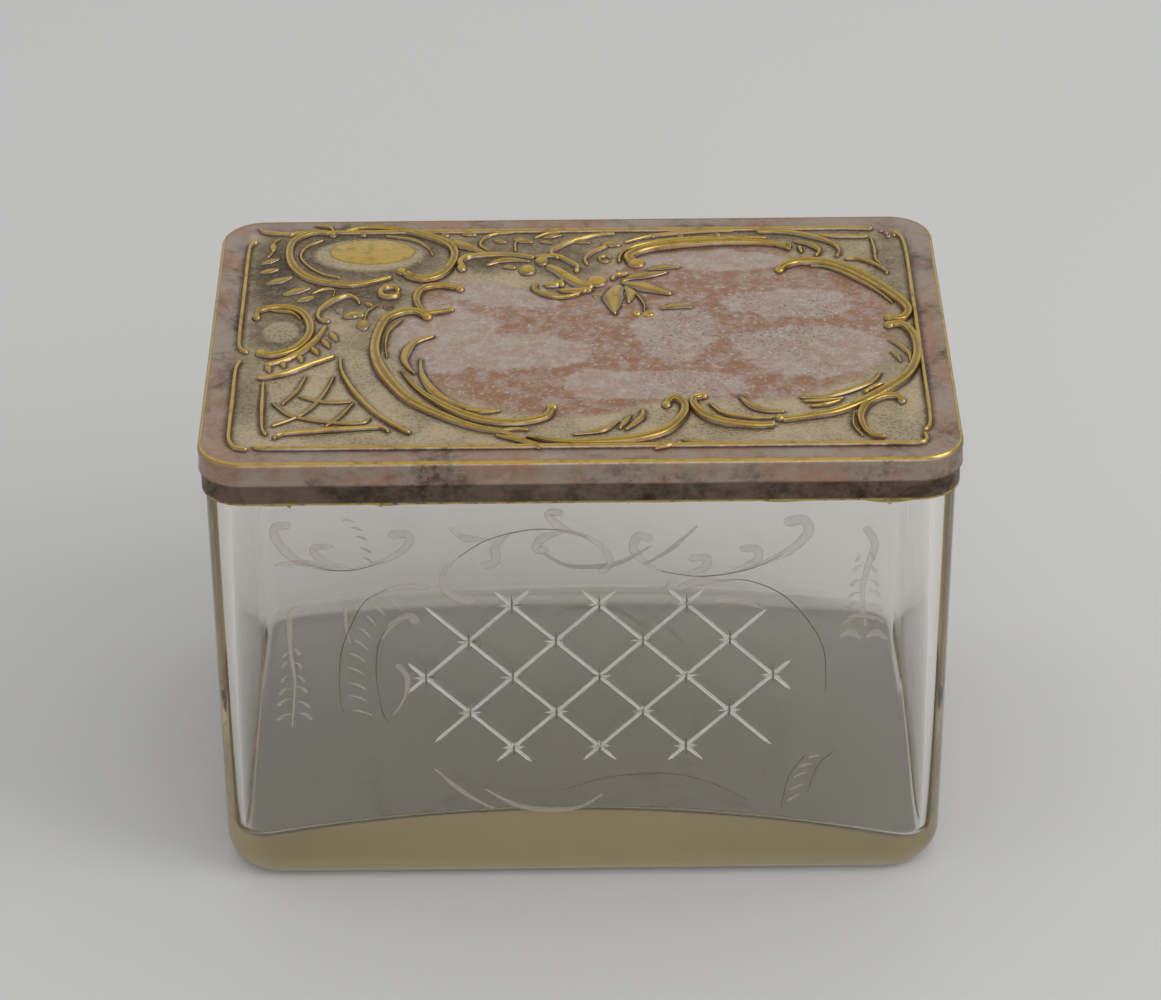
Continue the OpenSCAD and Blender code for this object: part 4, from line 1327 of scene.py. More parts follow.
@dataclass
class Lid:
    """The embossed lid with its scrollwork. Places are in millimetres, other sizes in metres.

    Attributes:
        sheet: thickness of the pressed sheet.
        edge: radius of the top edge.
        corner: corner radius in plan.
        border: width of the plain border round the panel.
        bead: height of the fine bead along the top edge.
        hollow: how far the skirt is drawn in halfway down.
        crown: height of the smooth field.
        wave: unevenness of the field.
        cell: size of the sheet's grid cells.
        step: distance between the sections of a roll, in millimetres.
        ceiling: height to which the highest rolls are rubbed flat.
        sunk: how far rolls and beads reach into the sheet.
        metal: the finish.
        strokes: the rolls of the relief.
        outline: places of the drawing round the field.
        middle: the place that the field swells round.
        boss: the medallion's oval: place, half width, half depth and rise.
        small_boss: the same for the boss in the round scroll.
        shade_patches: patches of painted shade on the ground: place, half width, half depth and strength.
        clouds: silver clouds on the field: place, half width and half depth.
    """

    sheet: float = 0.6 * MM
    edge: float = 0.9 * MM
    corner: float = 9.2 * MM
    border: float = 6.0 * MM
    bead: float = 0.16 * MM
    hollow: float = 0.12 * MM
    crown: float = 0.85 * MM
    wave: float = 0.07 * MM
    cell: float = 0.5 * MM
    step: float = 0.35
    ceiling: float = 100.39 * MM
    sunk: float = 0.4 * MM
    metal: Plate = LidPlate("tarnished_silver_plate")
    strokes: list[Stroke] = field(default_factory=lambda: (
        cartouche() + medallion() + left_panels() + spray() + branch() + right_corners() + frame_rolls()))
    outline: tuple[Point, ...] = (
        (-36, 8), (-38, -2), (-34, -14), (-25, -25), (-13, -31.5), (0, -33), (10, -29), (19, -26),
        (29, -27.5),
        (42, -26), (55, -16), (60.5, -6), (61.5, 8), (56, 23), (44, 29.5), (34, 38), (18, 37.5), (6, 29),
        (-6, 16), (-20, 22), (-30, 18))
    middle: Point = (16.4, -1.7)
    boss: Blob = (-43.5, 36.0, 12.4, 7.9, 0.8)
    small_boss: Blob = (-60.7, 2.0, 3.9, 5.0, 0.7)
    # patches of painted shade on the ground
    shade_patches: tuple[Blob, ...] = (
        (-45, 36, 19, 13, 0.85), (-63, 28, 6, 20, 0.85), (-50, 17, 17, 7, 0.75), (-61, 2, 8, 10, 0.6),
        (-18, 34, 12, 6, 0.7), (-2, 32, 9, 9, 0.65), (-10, 42, 16, 6, 0.45), (-40, 2, 7, 12, 0.4),
        (30, 44, 34, 5, 0.4), (66, 30, 5, 20, 0.4), (-67, -20, 4, 20, 0.35), (62, -6, 6, 16, 0.3))
    clouds: tuple[Blob, ...] = (
        (-29, -2, 10, 12), (-13, -8, 13, 6), (-13, 20, 13, 8), (19, 0, 8, 12), (16, -22, 18, 5),
        (47, -8, 15, 9), (44, 12, 12, 6), (30, 32, 16, 4))

    def __post_init__(self) -> None:
        """Reads the lid's size from the solids, and lays out the field's outline and the rolls' lines."""
        low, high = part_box("lid_shell")
        self.half_x, self.half_y, self.foot = high.x, high.y, low.z
        self.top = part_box("lid_liner")[1].z + self.sheet
        edge = smooth_path([on_lid(*p) for p in self.outline], 1.5, closed=True) - np.array(self.middle)
        angle = np.arctan2(edge[:, 1], edge[:, 0])
        order = np.argsort(angle)
        self.angle = angle[order]
        self.reach = np.linalg.norm(edge, axis=1)[order]
        self.lines = [lay_line(s, self.step, on_lid if s.drawn else as_seen) for s in self.strokes]
        points = np.vstack([line.points for line in self.lines])
        self.widths = np.concatenate([line.half for line in self.lines])
        self.tree = KDTree(len(points))
        for i, p in enumerate(points):
            self.tree.insert((p[0], p[1], 0), i)
        self.tree.balance()

    def ground(self, x: np.ndarray, y: np.ndarray) -> tuple[np.ndarray, np.ndarray]:
        """Height of the sheet above the plane of its top.

        Args:
            x: places across, in metres.
            y: places front to back, in metres.

        Returns:
            The heights in metres, and how far inside the field each place is, from 0 to 1.
        """
        dx, dy = x / MM - self.middle[0], y / MM - self.middle[1]
        reach = np.interp(np.arctan2(dy, dx), self.angle, self.reach, period=2 * math.pi)
        far = np.hypot(dx, dy) / reach
        t = np.clip(far, 0, 1)
        dome = self.crown * (1 - t**2.6)
        for boss in (self.boss, self.small_boss):
            dome = np.maximum(dome, boss[4] * MM * np.clip(within(boss, x / MM, y / MM), 0, 1) ** 0.6)
        dome = dome + self.wave * np.sin(x / MM * 0.31 + 1) * np.sin(y / MM * 0.27) * (t < 1)
        return dome, np.clip((1.08 - far) * 12, 0, 1)

    def rings(self) -> list[Ring]:
        """Rings of the sheet from its flat top over the edge and down the skirt to its underside.

        Returns:
            The rings.
        """
        mid = (self.half_x - self.corner, self.half_y - self.corner)
        flat = self.corner - self.edge
        out = [Ring(*mid, flat * k / 14, self.top) for k in range(1, 15)]
        for k in range(1, 8):
            a = math.pi / 2 * k / 7
            swell = self.bead * math.sin(k / 4 * math.pi) if k < 4 else 0.0
            z = self.top - self.edge * (1 - math.cos(a)) + swell
            out.append(Ring(*mid, flat + self.edge * math.sin(a), z))
        skirt = self.top - self.edge - self.foot
        for k in range(1, 9):
            hollow = self.hollow * math.sin(math.pi * k / 8)
            out.append(Ring(*mid, self.corner - hollow, self.top - self.edge - skirt * k / 8))
        inside = self.corner - self.sheet
        return out + [Ring(*mid, inside, self.foot), Ring(*mid, inside, self.top - self.sheet)]

    def build_sheet(self, metal: Material) -> Object:
        """Builds the pressed sheet: top, round edge with its bead, skirt and underside.

        Args:
            metal: its finish.

        Returns:
            The sheet.
        """
        rings = self.rings()
        mid_x, mid_y = rings[0].mid_x, rings[0].mid_y
        shell = RoundedShell(round(2 * mid_x / self.cell), round(2 * mid_y / self.cell), 22)
        mesh = ShellMesh(shell, shell.grid(Ring(mid_x, mid_y, 0, self.top)))
        for ring in rings:
            mesh.add(shell.loop(ring))
        mesh.faces.append(tuple(reversed(mesh.before)))
        points = np.vstack(mesh.blocks)
        upper = points[:, 2] > self.top - 1e-7
        lift, inner = self.ground(points[:, 0], points[:, 1])
        points[:, 2] += np.where(upper, lift, 0)
        obj = make_object("lid_sheet", points, mesh.faces, material=metal)
        self.mark(obj, points, inner)
        return obj

    def mark(self, obj: Object, points: np.ndarray, inner: np.ndarray) -> None:
        """Stores on the sheet where it is worn, where it gets painted shade, where it is sandy and silver,
        and where the field is.

        Args:
            obj: the sheet.
            points: its points.
            inner: how far inside the field each of them is.
        """
        east, north = points[:, 0] / MM, points[:, 1] / MM
        face = points[:, 2] > self.top - 0.3 * MM
        panel = (self.half_x - self.border - np.abs(points[:, 0])) / MM
        panel = np.minimum(panel, (self.half_y - self.border - np.abs(points[:, 1])) / MM)
        silver = np.zeros(len(points))
        for cloud in self.clouds:
            silver = np.maximum(silver, np.exp(within(cloud, east, north) - 1))
        set_values(obj, "panel", np.clip(panel + 0.5, 0, 1) * face)
        set_values(obj, "silver", silver)
        set_values(obj, "crest", np.maximum(self.rubbed_edge(points), self.rubbed_boss(east, north)))
        # painted shade beside the rolls and in patches of the ground
        set_values(obj, "recess", self.painted_shade_map(points, east, north, inner) * face)
        set_values(obj, "field", inner)

    def rubbed_edge(self, points: np.ndarray) -> np.ndarray:
        """How far the plate is rubbed through to the brass along the top edge.

        Args:
            points: the sheet's points.

        Returns:
            A value from 0 to 1 for each point.
        """
        out = np.maximum(np.abs(points[:, 0]) - (self.half_x - self.corner), 0)
        up = np.maximum(np.abs(points[:, 1]) - (self.half_y - self.corner), 0)
        gap = (np.hypot(out, up) - (self.corner - 0.55 * self.edge)) / (0.4 * MM)
        return np.exp(-gap ** 2) * (points[:, 2] > self.top - self.edge)

    def rubbed_boss(self, east: np.ndarray, north: np.ndarray) -> np.ndarray:
        """How far the plate is rubbed through on the oval boss, a little off its middle.

        Args:
            east: places across, in millimetres.
            north: places front to back.

        Returns:
            A value from 0 to 1 for each place.
        """
        x, y, a, b, _ = self.boss
        return np.clip(within((x + 0.5, y + 0.7, 0.81 * a, 0.83 * b), east, north) * 3, 0, 1)

    def painted_shade_map(self, points: np.ndarray, east: np.ndarray, north: np.ndarray, inner: np.ndarray) -> np.ndarray:
        """How much painted shade the sheet gets beside the rolls and in patches of the ground.

        Args:
            points: the sheet's points.
            east: their places across, in millimetres.
            north: their places front to back.
            inner: how far inside the field each of them is.

        Returns:
            A value from 0 to 1 for each point.
        """
        out = np.zeros(len(points))
        # painted shade beside the rolls, fading with distance from the edge of the nearest one
        for i in np.nonzero(points[:, 2] > self.top - 0.3 * MM)[0]:
            _, k, gap = self.tree.find((points[i, 0], points[i, 1], 0))
            out[i] = 0.85 * math.exp(-(max(0.0, gap - self.widths[k]) / (0.6 * MM)) ** 2)
        bosses = [np.clip(within(boss, east, north) * 4, 0, 1) for boss in (self.boss, self.small_boss)]
        clean = (1 - np.maximum(*bosses)) * (1 - inner)
        # patches of painted shade, kept off the bosses and the field
        for shade in self.shade_patches:
            out = np.maximum(out, shade[4] * np.exp(-(1 - within(shade, east, north)) ** 2) * clean)
        return out

    def build_rolls(self, sheet: Object, metal: Material) -> list[Object]:
        """Sweeps the rolls along their lines and lays them on the sheet.

        Args:
            sheet: the pressed sheet.
            metal: the finish.

        Returns:
            One object for each cross section.
        """
        pieces = []
        for profile in (Profile.ROUND, Profile.LIPPED, Profile.LEAF):
            own = [line for line in self.lines if line.profile is profile]
            pieces.append(sweep("lid_rolls_" + profile.name.lower(), own, self.top, sheet, metal))
        return pieces

    def build_beads(self, sheet: Object, metal: Material) -> Object:
        """Sets knobs, buds and beads on the sheet.

        Args:
            sheet: the pressed sheet.
            metal: the finish.

        Returns:
            The beads as one mesh.
        """
        tree = GeometryTree("beads_on_sheet", {"Ground": ("NodeSocketObject", None),
                                               "Material": ("NodeSocketMaterial", None)})
        g = tree.start.outputs
        ball = tree.add("GeometryNodeMeshIcoSphere", {"Radius": 1.0, "Subdivisions": 3}).outputs["Mesh"]
        put = tree.add("GeometryNodeInstanceOnPoints", {"Points": g["Geometry"], "Instance": ball,
                                                        "Scale": tree.named("size",
                                                                            "FLOAT_VECTOR")}).outputs[0]
        real = tree.add("GeometryNodeRealizeInstances", {"Geometry": put}).outputs[0]
        smooth = tree.add("GeometryNodeSetShadeSmooth", {"Geometry": real, "Shade Smooth": True}).outputs[0]
        tree.finish(smooth, g["Material"])
        spots = [(*on_lid(x, y, rise), 0) for x, y, _, _, rise in BEADS]
        spots = np.array(spots + [(*as_seen(x, y, rise), 0) for x, y, _, _, rise in BUDS]) * MM
        lift, _ = self.ground(spots[:, 0], spots[:, 1])
        set_in = 0.15
        spots[:, 2] = self.top + lift - set_in * MM
        beads = make_object("lid_beads", spots, [])
        set_vectors(beads, "size", np.array([(a, b, rise + set_in) for _, _, a, b,
                                             rise in BEADS + BUDS]) * MM)
        tree.run(beads, {"Ground": sheet, "Material": metal})
        z = np.array([v.co.z for v in beads.data.vertices])
        set_values(beads, "crest", np.clip((z - self.top) / (0.9 * MM), 0, 1))
        # painted shade, dark at the foot of each bead and none on its top
        set_values(beads, "recess", np.clip(0.8 - (z - self.top) / (0.4 * MM), 0, 1))
        return beads

    def dress(self) -> None:
        """Builds the lid's visible metal and hands it to the frame."""
        metal = self.metal.material()
        sheet = self.build_sheet(metal)
        for piece in (sheet, *self.build_rolls(sheet, metal), self.build_beads(sheet, metal)):
            lowest = self.foot if piece is sheet else self.top - self.sunk
            for vertex in piece.data.vertices:
                vertex.co.z = min(max(vertex.co.z, lowest), self.ceiling)
            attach(piece, Body.LID.value)
            report(piece)
        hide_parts("lid_shell")


@dataclass
class Vessel:
    """The pressed glass box. Sizes are in metres where nothing else is said.

    Attributes:
        wall: thickness of the wall.
        corner: outer corner radius at the rim.
        inner_corner: inner corner radius.
        heel: how far the foot draws in.
        heel_height: height over which it does so.
        foot_corner: outer corner radius at the foot.
        draft: lean of the walls in radians.
        fillet: radius between the wall and the floor.
        front_floor: height of the floor's front edge and its fall to the sides, in millimetres.
        back_floor: the same for its back edge.
        askew: how far to the left the front edge is highest, as a share of the half width.
        swell: how much higher the floor is halfway back, in millimetres.
        levels: number of rings on each face of the wall.
        clear: finish of the glass.
    """

    wall: float = 4.0 * MM
    corner: float = 8.0 * MM
    inner_corner: float = 6.0 * MM
    heel: float = 4.4 * MM
    heel_height: float = 5.8 * MM
    foot_corner: float = 12.0 * MM
    draft: float = math.radians(0.4)
    fillet: float = 3.2 * MM
    front_floor: Point = (14.3, 9.0)
    back_floor: Point = (10.5, 5.5)
    askew: float = 0.06
    swell: float = 0.8
    levels: int = 14
    clear: Glass = Glass("olive_tinted_glass")

    def __post_init__(self) -> None:
        """Reads the glass's size from the solids."""
        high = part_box("glass_body")[1]
        self.half_x, self.half_y, self.top = high.x, high.y, high.z

    def floor(self, x: np.ndarray, y: np.ndarray) -> np.ndarray:
        """Height of the uneven inner floor, which swells in the middle and falls to the corners.

        Args:
            x: places across, in metres.
            y: places front to back.

        Returns:
            The heights in metres.
        """
        u, v = x / self.half_x, y / self.half_y
        front = self.front_floor[0] - self.front_floor[1] * np.abs(u + self.askew) ** 2
        back = self.back_floor[0] - self.back_floor[1] * np.abs(u) ** 2
        share = (v + 1) / 2
        return (front * (1 - share) + back * share + self.swell * np.cos(math.pi * v / 1.6)) * MM

    def on_floor(self, points: np.ndarray) -> np.ndarray:
        """Raises points by the height of the floor at their places."""
        points[:, 2] += self.floor(points[:, 0], points[:, 1])
        return points

    def outer_ring(self, z: float, drawn_in: float) -> Ring:
        """Ring of the outer wall at a height.

        Args:
            z: the height.
            drawn_in: how far it lies inside the drafted wall.

        Returns:
            The ring.
        """
        corner = self.corner + (self.foot_corner - self.corner) * (1 - z / self.top)
        inset = (self.top - z) * math.tan(self.draft)
        return Ring(self.half_x - inset - corner, self.half_y - inset - corner, corner - drawn_in, z)

    def outer_rings(self) -> list[Ring]:
        """Rings of the outer wall from the rim down, of the heel and of the underside.

        Returns:
            The rings.
        """
        drop = self.heel_height - self.top
        rings = [self.outer_ring(self.top + drop * k / self.levels, 0.0) for k in range(self.levels + 1)]
        for k in range(1, 9):
            a = math.pi / 2 * k / 8
            rings.append(self.outer_ring(self.heel_height * (1 - math.sin(a)), self.heel * (1 - math.cos(a))))
        last = rings[-1]
        return rings + [Ring(last.mid_x, last.mid_y, last.radius * (1 - k / 3), 0.0) for k in range(1, 3)]

    def floor_rings(self, mid: Point) -> list[Ring]:
        """Rings of the floor and of the fillet round it, with their heights above the floor.

        Args:
            mid: place of the inner corners' centres.

        Returns:
            The rings.
        """
        flat = self.inner_corner - math.tan(self.draft) * self.top * 0.85 - self.fillet
        rings = [Ring(*mid, flat * k / 4, 0.0) for k in range(1, 5)]
        for k in range(1, 9):
            a = math.pi / 2 * k / 8
            rings.append(Ring(*mid, flat + self.fillet * math.sin(a), self.fillet * (1 - math.cos(a))))
        return rings

    def build(self, glass: Material) -> Object:
        """Builds the closed glass body: floor, inner wall, rim, outer wall, heel and underside.

        Args:
            glass: its finish.

        Returns:
            The body, as yet uncut.
        """
        shell = RoundedShell(60, 42, 12)
        inset = self.wall + self.inner_corner
        mid = (self.half_x - inset, self.half_y - inset)
        mesh = ShellMesh(shell, self.on_floor(shell.grid(Ring(*mid, 0, 0))))
        for ring in self.floor_rings(mid):
            mesh.add(self.on_floor(shell.loop(ring)))
        foot = mesh.blocks[-1]
        goal = shell.loop(Ring(*mid, self.inner_corner, self.top))
        for k in range(1, self.levels + 1):
            t = k / self.levels
            mesh.add(foot * (1 - t) + goal * t)
        rings = self.outer_rings()
        for ring in rings:
            mesh.add(shell.loop(ring))
        mesh.close(shell.grid(Ring(rings[-1].mid_x, rings[-1].mid_y, 0, 0)))
        return make_object("glass_vessel", np.vstack(mesh.blocks), mesh.faces, material=glass)

    def dress(self) -> None:
        """Builds the glass, has it cut, and hands it to the frame."""
        obj = self.build(self.clear.material())
        WheelCutting(self).dress(obj)
        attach(obj, Body.BASE.value)
        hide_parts("glass_body")
        report(obj)


def leaflets(x: float, z: float, count: int, drop: float, length: float) -> list[Stroke]:
    """Pairs of small leaves on an upright stem.

    Args:
        x: place of the stem.
        z: height of its top.
        count: number of pairs.
        drop: distance between pairs.
        length: length of the lowest leaves.

    Returns:
        One stroke for each leaf.
    """
    out = []
    for k in range(count):
        reach = length * (0.45 + 0.55 * k / (count - 1))
        for side in (-1, 1):
            base = z - drop * k + 0.3 * math.sin(2.3 * k + side)
            rib = ((x + side * 0.5, base + 0.7), (x + side * 0.6 * reach, base + 0.5),
                   (x + side * reach, base - 0.9))
            out.append(Stroke(rib, (0.06, 0.34, 0.42), 0.03, Profile.CUT))
    return out


def rungs(outer: Sequence[Point], inner: Sequence[Point], count: int) -> list[Stroke]:
    """Short cuts across the space between two arcs, like the rungs of a ladder.

    Args:
        outer: points of one arc.
        inner: points of the other.
        count: number of cuts.

    Returns:
        One stroke for each cut.
    """
    a, b = smooth_path(outer, 0.3), smooth_path(inner, 0.3)
    out = []
    for k in range(count):
        t = (k + 0.5) / count
        p, q = a[int(t * (len(a) - 1))], b[int(t * (len(b) - 1))]
        start, end = p + 0.22 * (q - p), p + 0.7 * (q - p)
        mid = (start + end) / 2 + np.array((0.0, 0.3))
        out.append(Stroke((tuple(start), tuple(mid), tuple(end)), (0.12, 0.3, 0.12), 0.05, Profile.CUT))
    return out


LADDER_OUT = ((-38, 69.6), (-42.5, 67.2), (-45.2, 62.6), (-48, 54.5), (-48.5, 44.3), (-47.8, 40.7))
LADDER_IN = ((-33.5, 63), (-37.9, 61.2), (-40.4, 56.7), (-41.1, 49.6), (-40.2, 41.3), (-39, 38.3))
TICKS_OUT = ((40.1, 16.6), (41.6, 24.3), (44.7, 29.3))
TICKS_IN = ((45.4, 20.4), (47.4, 26.9), (50.6, 30.2))


def frosted_scrolls() -> list[Stroke]:
    """Matt scrolls, leaves and stems on the wall, as places across and up in millimetres.

    Returns:
        The strokes.
    """
    shapes: tuple[tuple[tuple[Point, ...], tuple[float, float, float]], ...] = (
        (((-56.8, 84.6), (-60, 84), (-59.6, 80.8), (-55.9, 76.5), (-50.1, 74.5), (-44.4, 74.3)),
         (0.9, 1.0, 0.12)),
        (((-46, 74.3), (-38.6, 76.3), (-34.2, 79.6), (-34, 82.2), (-38, 82)), (0.12, 0.7, 1.0)),
        (((-49, 74.4), (-55, 76), (-60.5, 75.3)), (0.12, 0.75, 0.3)),
        (((-48.6, 79.6), (-52.6, 79.2), (-50.6, 76.2), (-45, 74.5)), (0.5, 0.95, 0.12)),
        (((-20.4, 67.6), (-22.6, 66.8), (-26.6, 69.2), (-27.2, 73.2), (-24.4, 76.7)), (1.1, 1.1, 0.12)),
        (((-9, 83), (-1.6, 82.4), (3.8, 79.2), (5.6, 75.4), (3.4, 72.8)), (0.12, 0.5, 0.9)),
        (((-18, 81), (-22.6, 81.2), (-26, 83.8)), (0.12, 0.85, 0.4)),
        (((-14, 82), (-16.8, 79.4), (-17, 75.8), (-20, 74.7)), (0.12, 1.0, 0.9)),
        (((-3, 82.4), (-7.4, 81.2), (-8.8, 78.6), (-6.4, 78.2)), (0.12, 1.0, 0.9)),
        (((1.2, 81.2), (-4.2, 83.6), (-6.4, 86.6), (-3.4, 86.8)), (0.12, 1.0, 0.8)),
        (((14, 80.4), (11.2, 81.4), (10.2, 78.4), (12.5, 75.2), (16.2, 73.1)), (0.9, 0.95, 0.12)),
        (((31, 73), (39.6, 76.8), (44.3, 81.4), (43.6, 84.6), (39.6, 84)), (0.12, 0.9, 1.2)),
        (((19.4, 72.4), (24, 73.8), (24.6, 76.2), (21, 76)), (0.12, 0.9, 0.8)),
        (((28, 72.6), (34, 75), (34.6, 78), (31, 78.2)), (0.12, 0.95, 0.8)),
        (((-44, 65.4), (-39.9, 68.7), (-34.6, 70.2), (-30, 70)), (0.12, 0.5, 0.9)),
        (((-40, 57.6), (-37.6, 61.4), (-34.2, 63.2), (-32.6, 61.4)), (0.12, 0.7, 1.1)),
        (((-37, 52), (-35, 49), (-35.6, 44), (-38, 40)), (0.7, 0.5, 0.12)),
        (((-46.6, 66), (-46.8, 61), (-46, 57)), (0.5, 0.4, 0.12)),
        (((19, 69), (22.8, 70.6), (30.6, 71)), (0.8, 0.9, 0.12)),
        (((26.4, 66.6), (30.8, 66.4), (36, 64.2)), (1.2, 1.0, 0.2)),
        (((55.6, 83), (57.6, 79), (56.4, 74), (55.4, 68), (56.2, 60)), (0.9, 0.7, 0.2)),
        (((-54.6, 65.4), (-57.6, 64), (-58, 56), (-57.4, 48), (-58.4, 37)), (0.8, 0.4, 0.2)),
        (((-20, 22), (-12, 17.4), (-2, 17), (4, 20.4)), (0.2, 0.7, 0.3)),
        (((-30, 27), (-24, 21), (-18, 17)), (0.2, 0.6, 0.2)),
        (((52.6, 62), (55.4, 62.6), (58.4, 61.4)), (0.3, 0.8, 0.3)),
        (((51.2, 57.4), (53.2, 58.6), (55.2, 57)), (0.4, 0.9, 0.4)),
        (((56.4, 57.2), (58.4, 58.4), (60.6, 56.8)), (0.4, 0.9, 0.4)),
    )
    out = [Stroke(points, half, 0.05, Profile.CUT) for points, half in shapes]
    out += leaflets(-57.8, 55, 6, 3.0, 3.6) + leaflets(55.8, 76, 6, 2.9, 4.2)
    out += rungs(LADDER_OUT, LADDER_IN, 10) + rungs(TICKS_OUT, TICKS_IN, 5)
    return out


def fine_lines() -> list[Stroke]:
    """Thin dark lines of the scrolls on the wall.

    Returns:
        The strokes.
    """
    even = (0.08, 0.13, 0.08)
    lines = (LADDER_OUT, LADDER_IN, TICKS_OUT, TICKS_IN,
             ((-55.9, 76.4), (-50.1, 74.3), (-44.4, 74.2), (-38.6, 76.2)),
             ((-24.4, 76.7), (-18.3, 80.8), (-9.7, 83), (-2.2, 82.5), (1.5, 80.7)),
             ((15.6, 73.2), (23.5, 71.9), (32.8, 73.4), (39.6, 76.8)),
             ((25.8, 70.8), (32.8, 70.8), (39.7, 67.4), (45, 61.1), (48.1, 54.2), (48.6, 44.6)),
             ((-4.7, 21.2), (4.2, 24.3), (16.1, 25.3), (25, 23.3), (33.4, 18.6)))
    return [Stroke(line, even, 0.04, Profile.CUT) for line in lines]


def dark_rays(places: Sequence[Point]) -> list[Stroke]:
    """Short dark upright lines at the stars of the lattice.

    Args:
        places: middles of the stars.

    Returns:
        One stroke for each star.
    """
    lines = [((x, z - 2.2), (x + 0.05, z), (x, z + 2.3)) for x, z in places]
    return [Stroke(line, (0.05, 0.2, 0.05), 0.04, Profile.CUT) for line in lines]


def cement_marks() -> list[Stroke]:
    """Uneven line of cement that shows under the front of the collar, as places across and up.

    Returns:
        The strokes.
    """
    marks = (((-66, 89.3), (-60, 89.1), (-54, 89.3), (-46, 89.2)), ((-42, 89.3), (-38, 89.0), (-33, 89.3)),
             ((-24, 89.3), (-10, 89.2), (6, 89.3), (16, 89.1), (27, 89.3)),
             ((33, 89.3), (38, 89.0), (44, 89.2), (49, 89.3)),
             ((54, 89.3), (58, 88.8), (62, 88.7), (66, 89.3)))
    drips = (((-57.2, 89.3), (-56.8, 88.3)), ((-39.4, 89.3), (-38.9, 88.4)), ((-37.4, 89.2), (-37.6, 88.6)),
             ((9, 89.2), (9.2, 88.5)),
             ((60.6, 89.2), (60.2, 87.9)))
    return ([Stroke(mark, (0.15, 0.34, 0.15), 0.3, Profile.CUT) for mark in marks]
            + [Stroke(drip, (0.5, 0.45, 0.2), 0.3, Profile.CUT) for drip in drips])


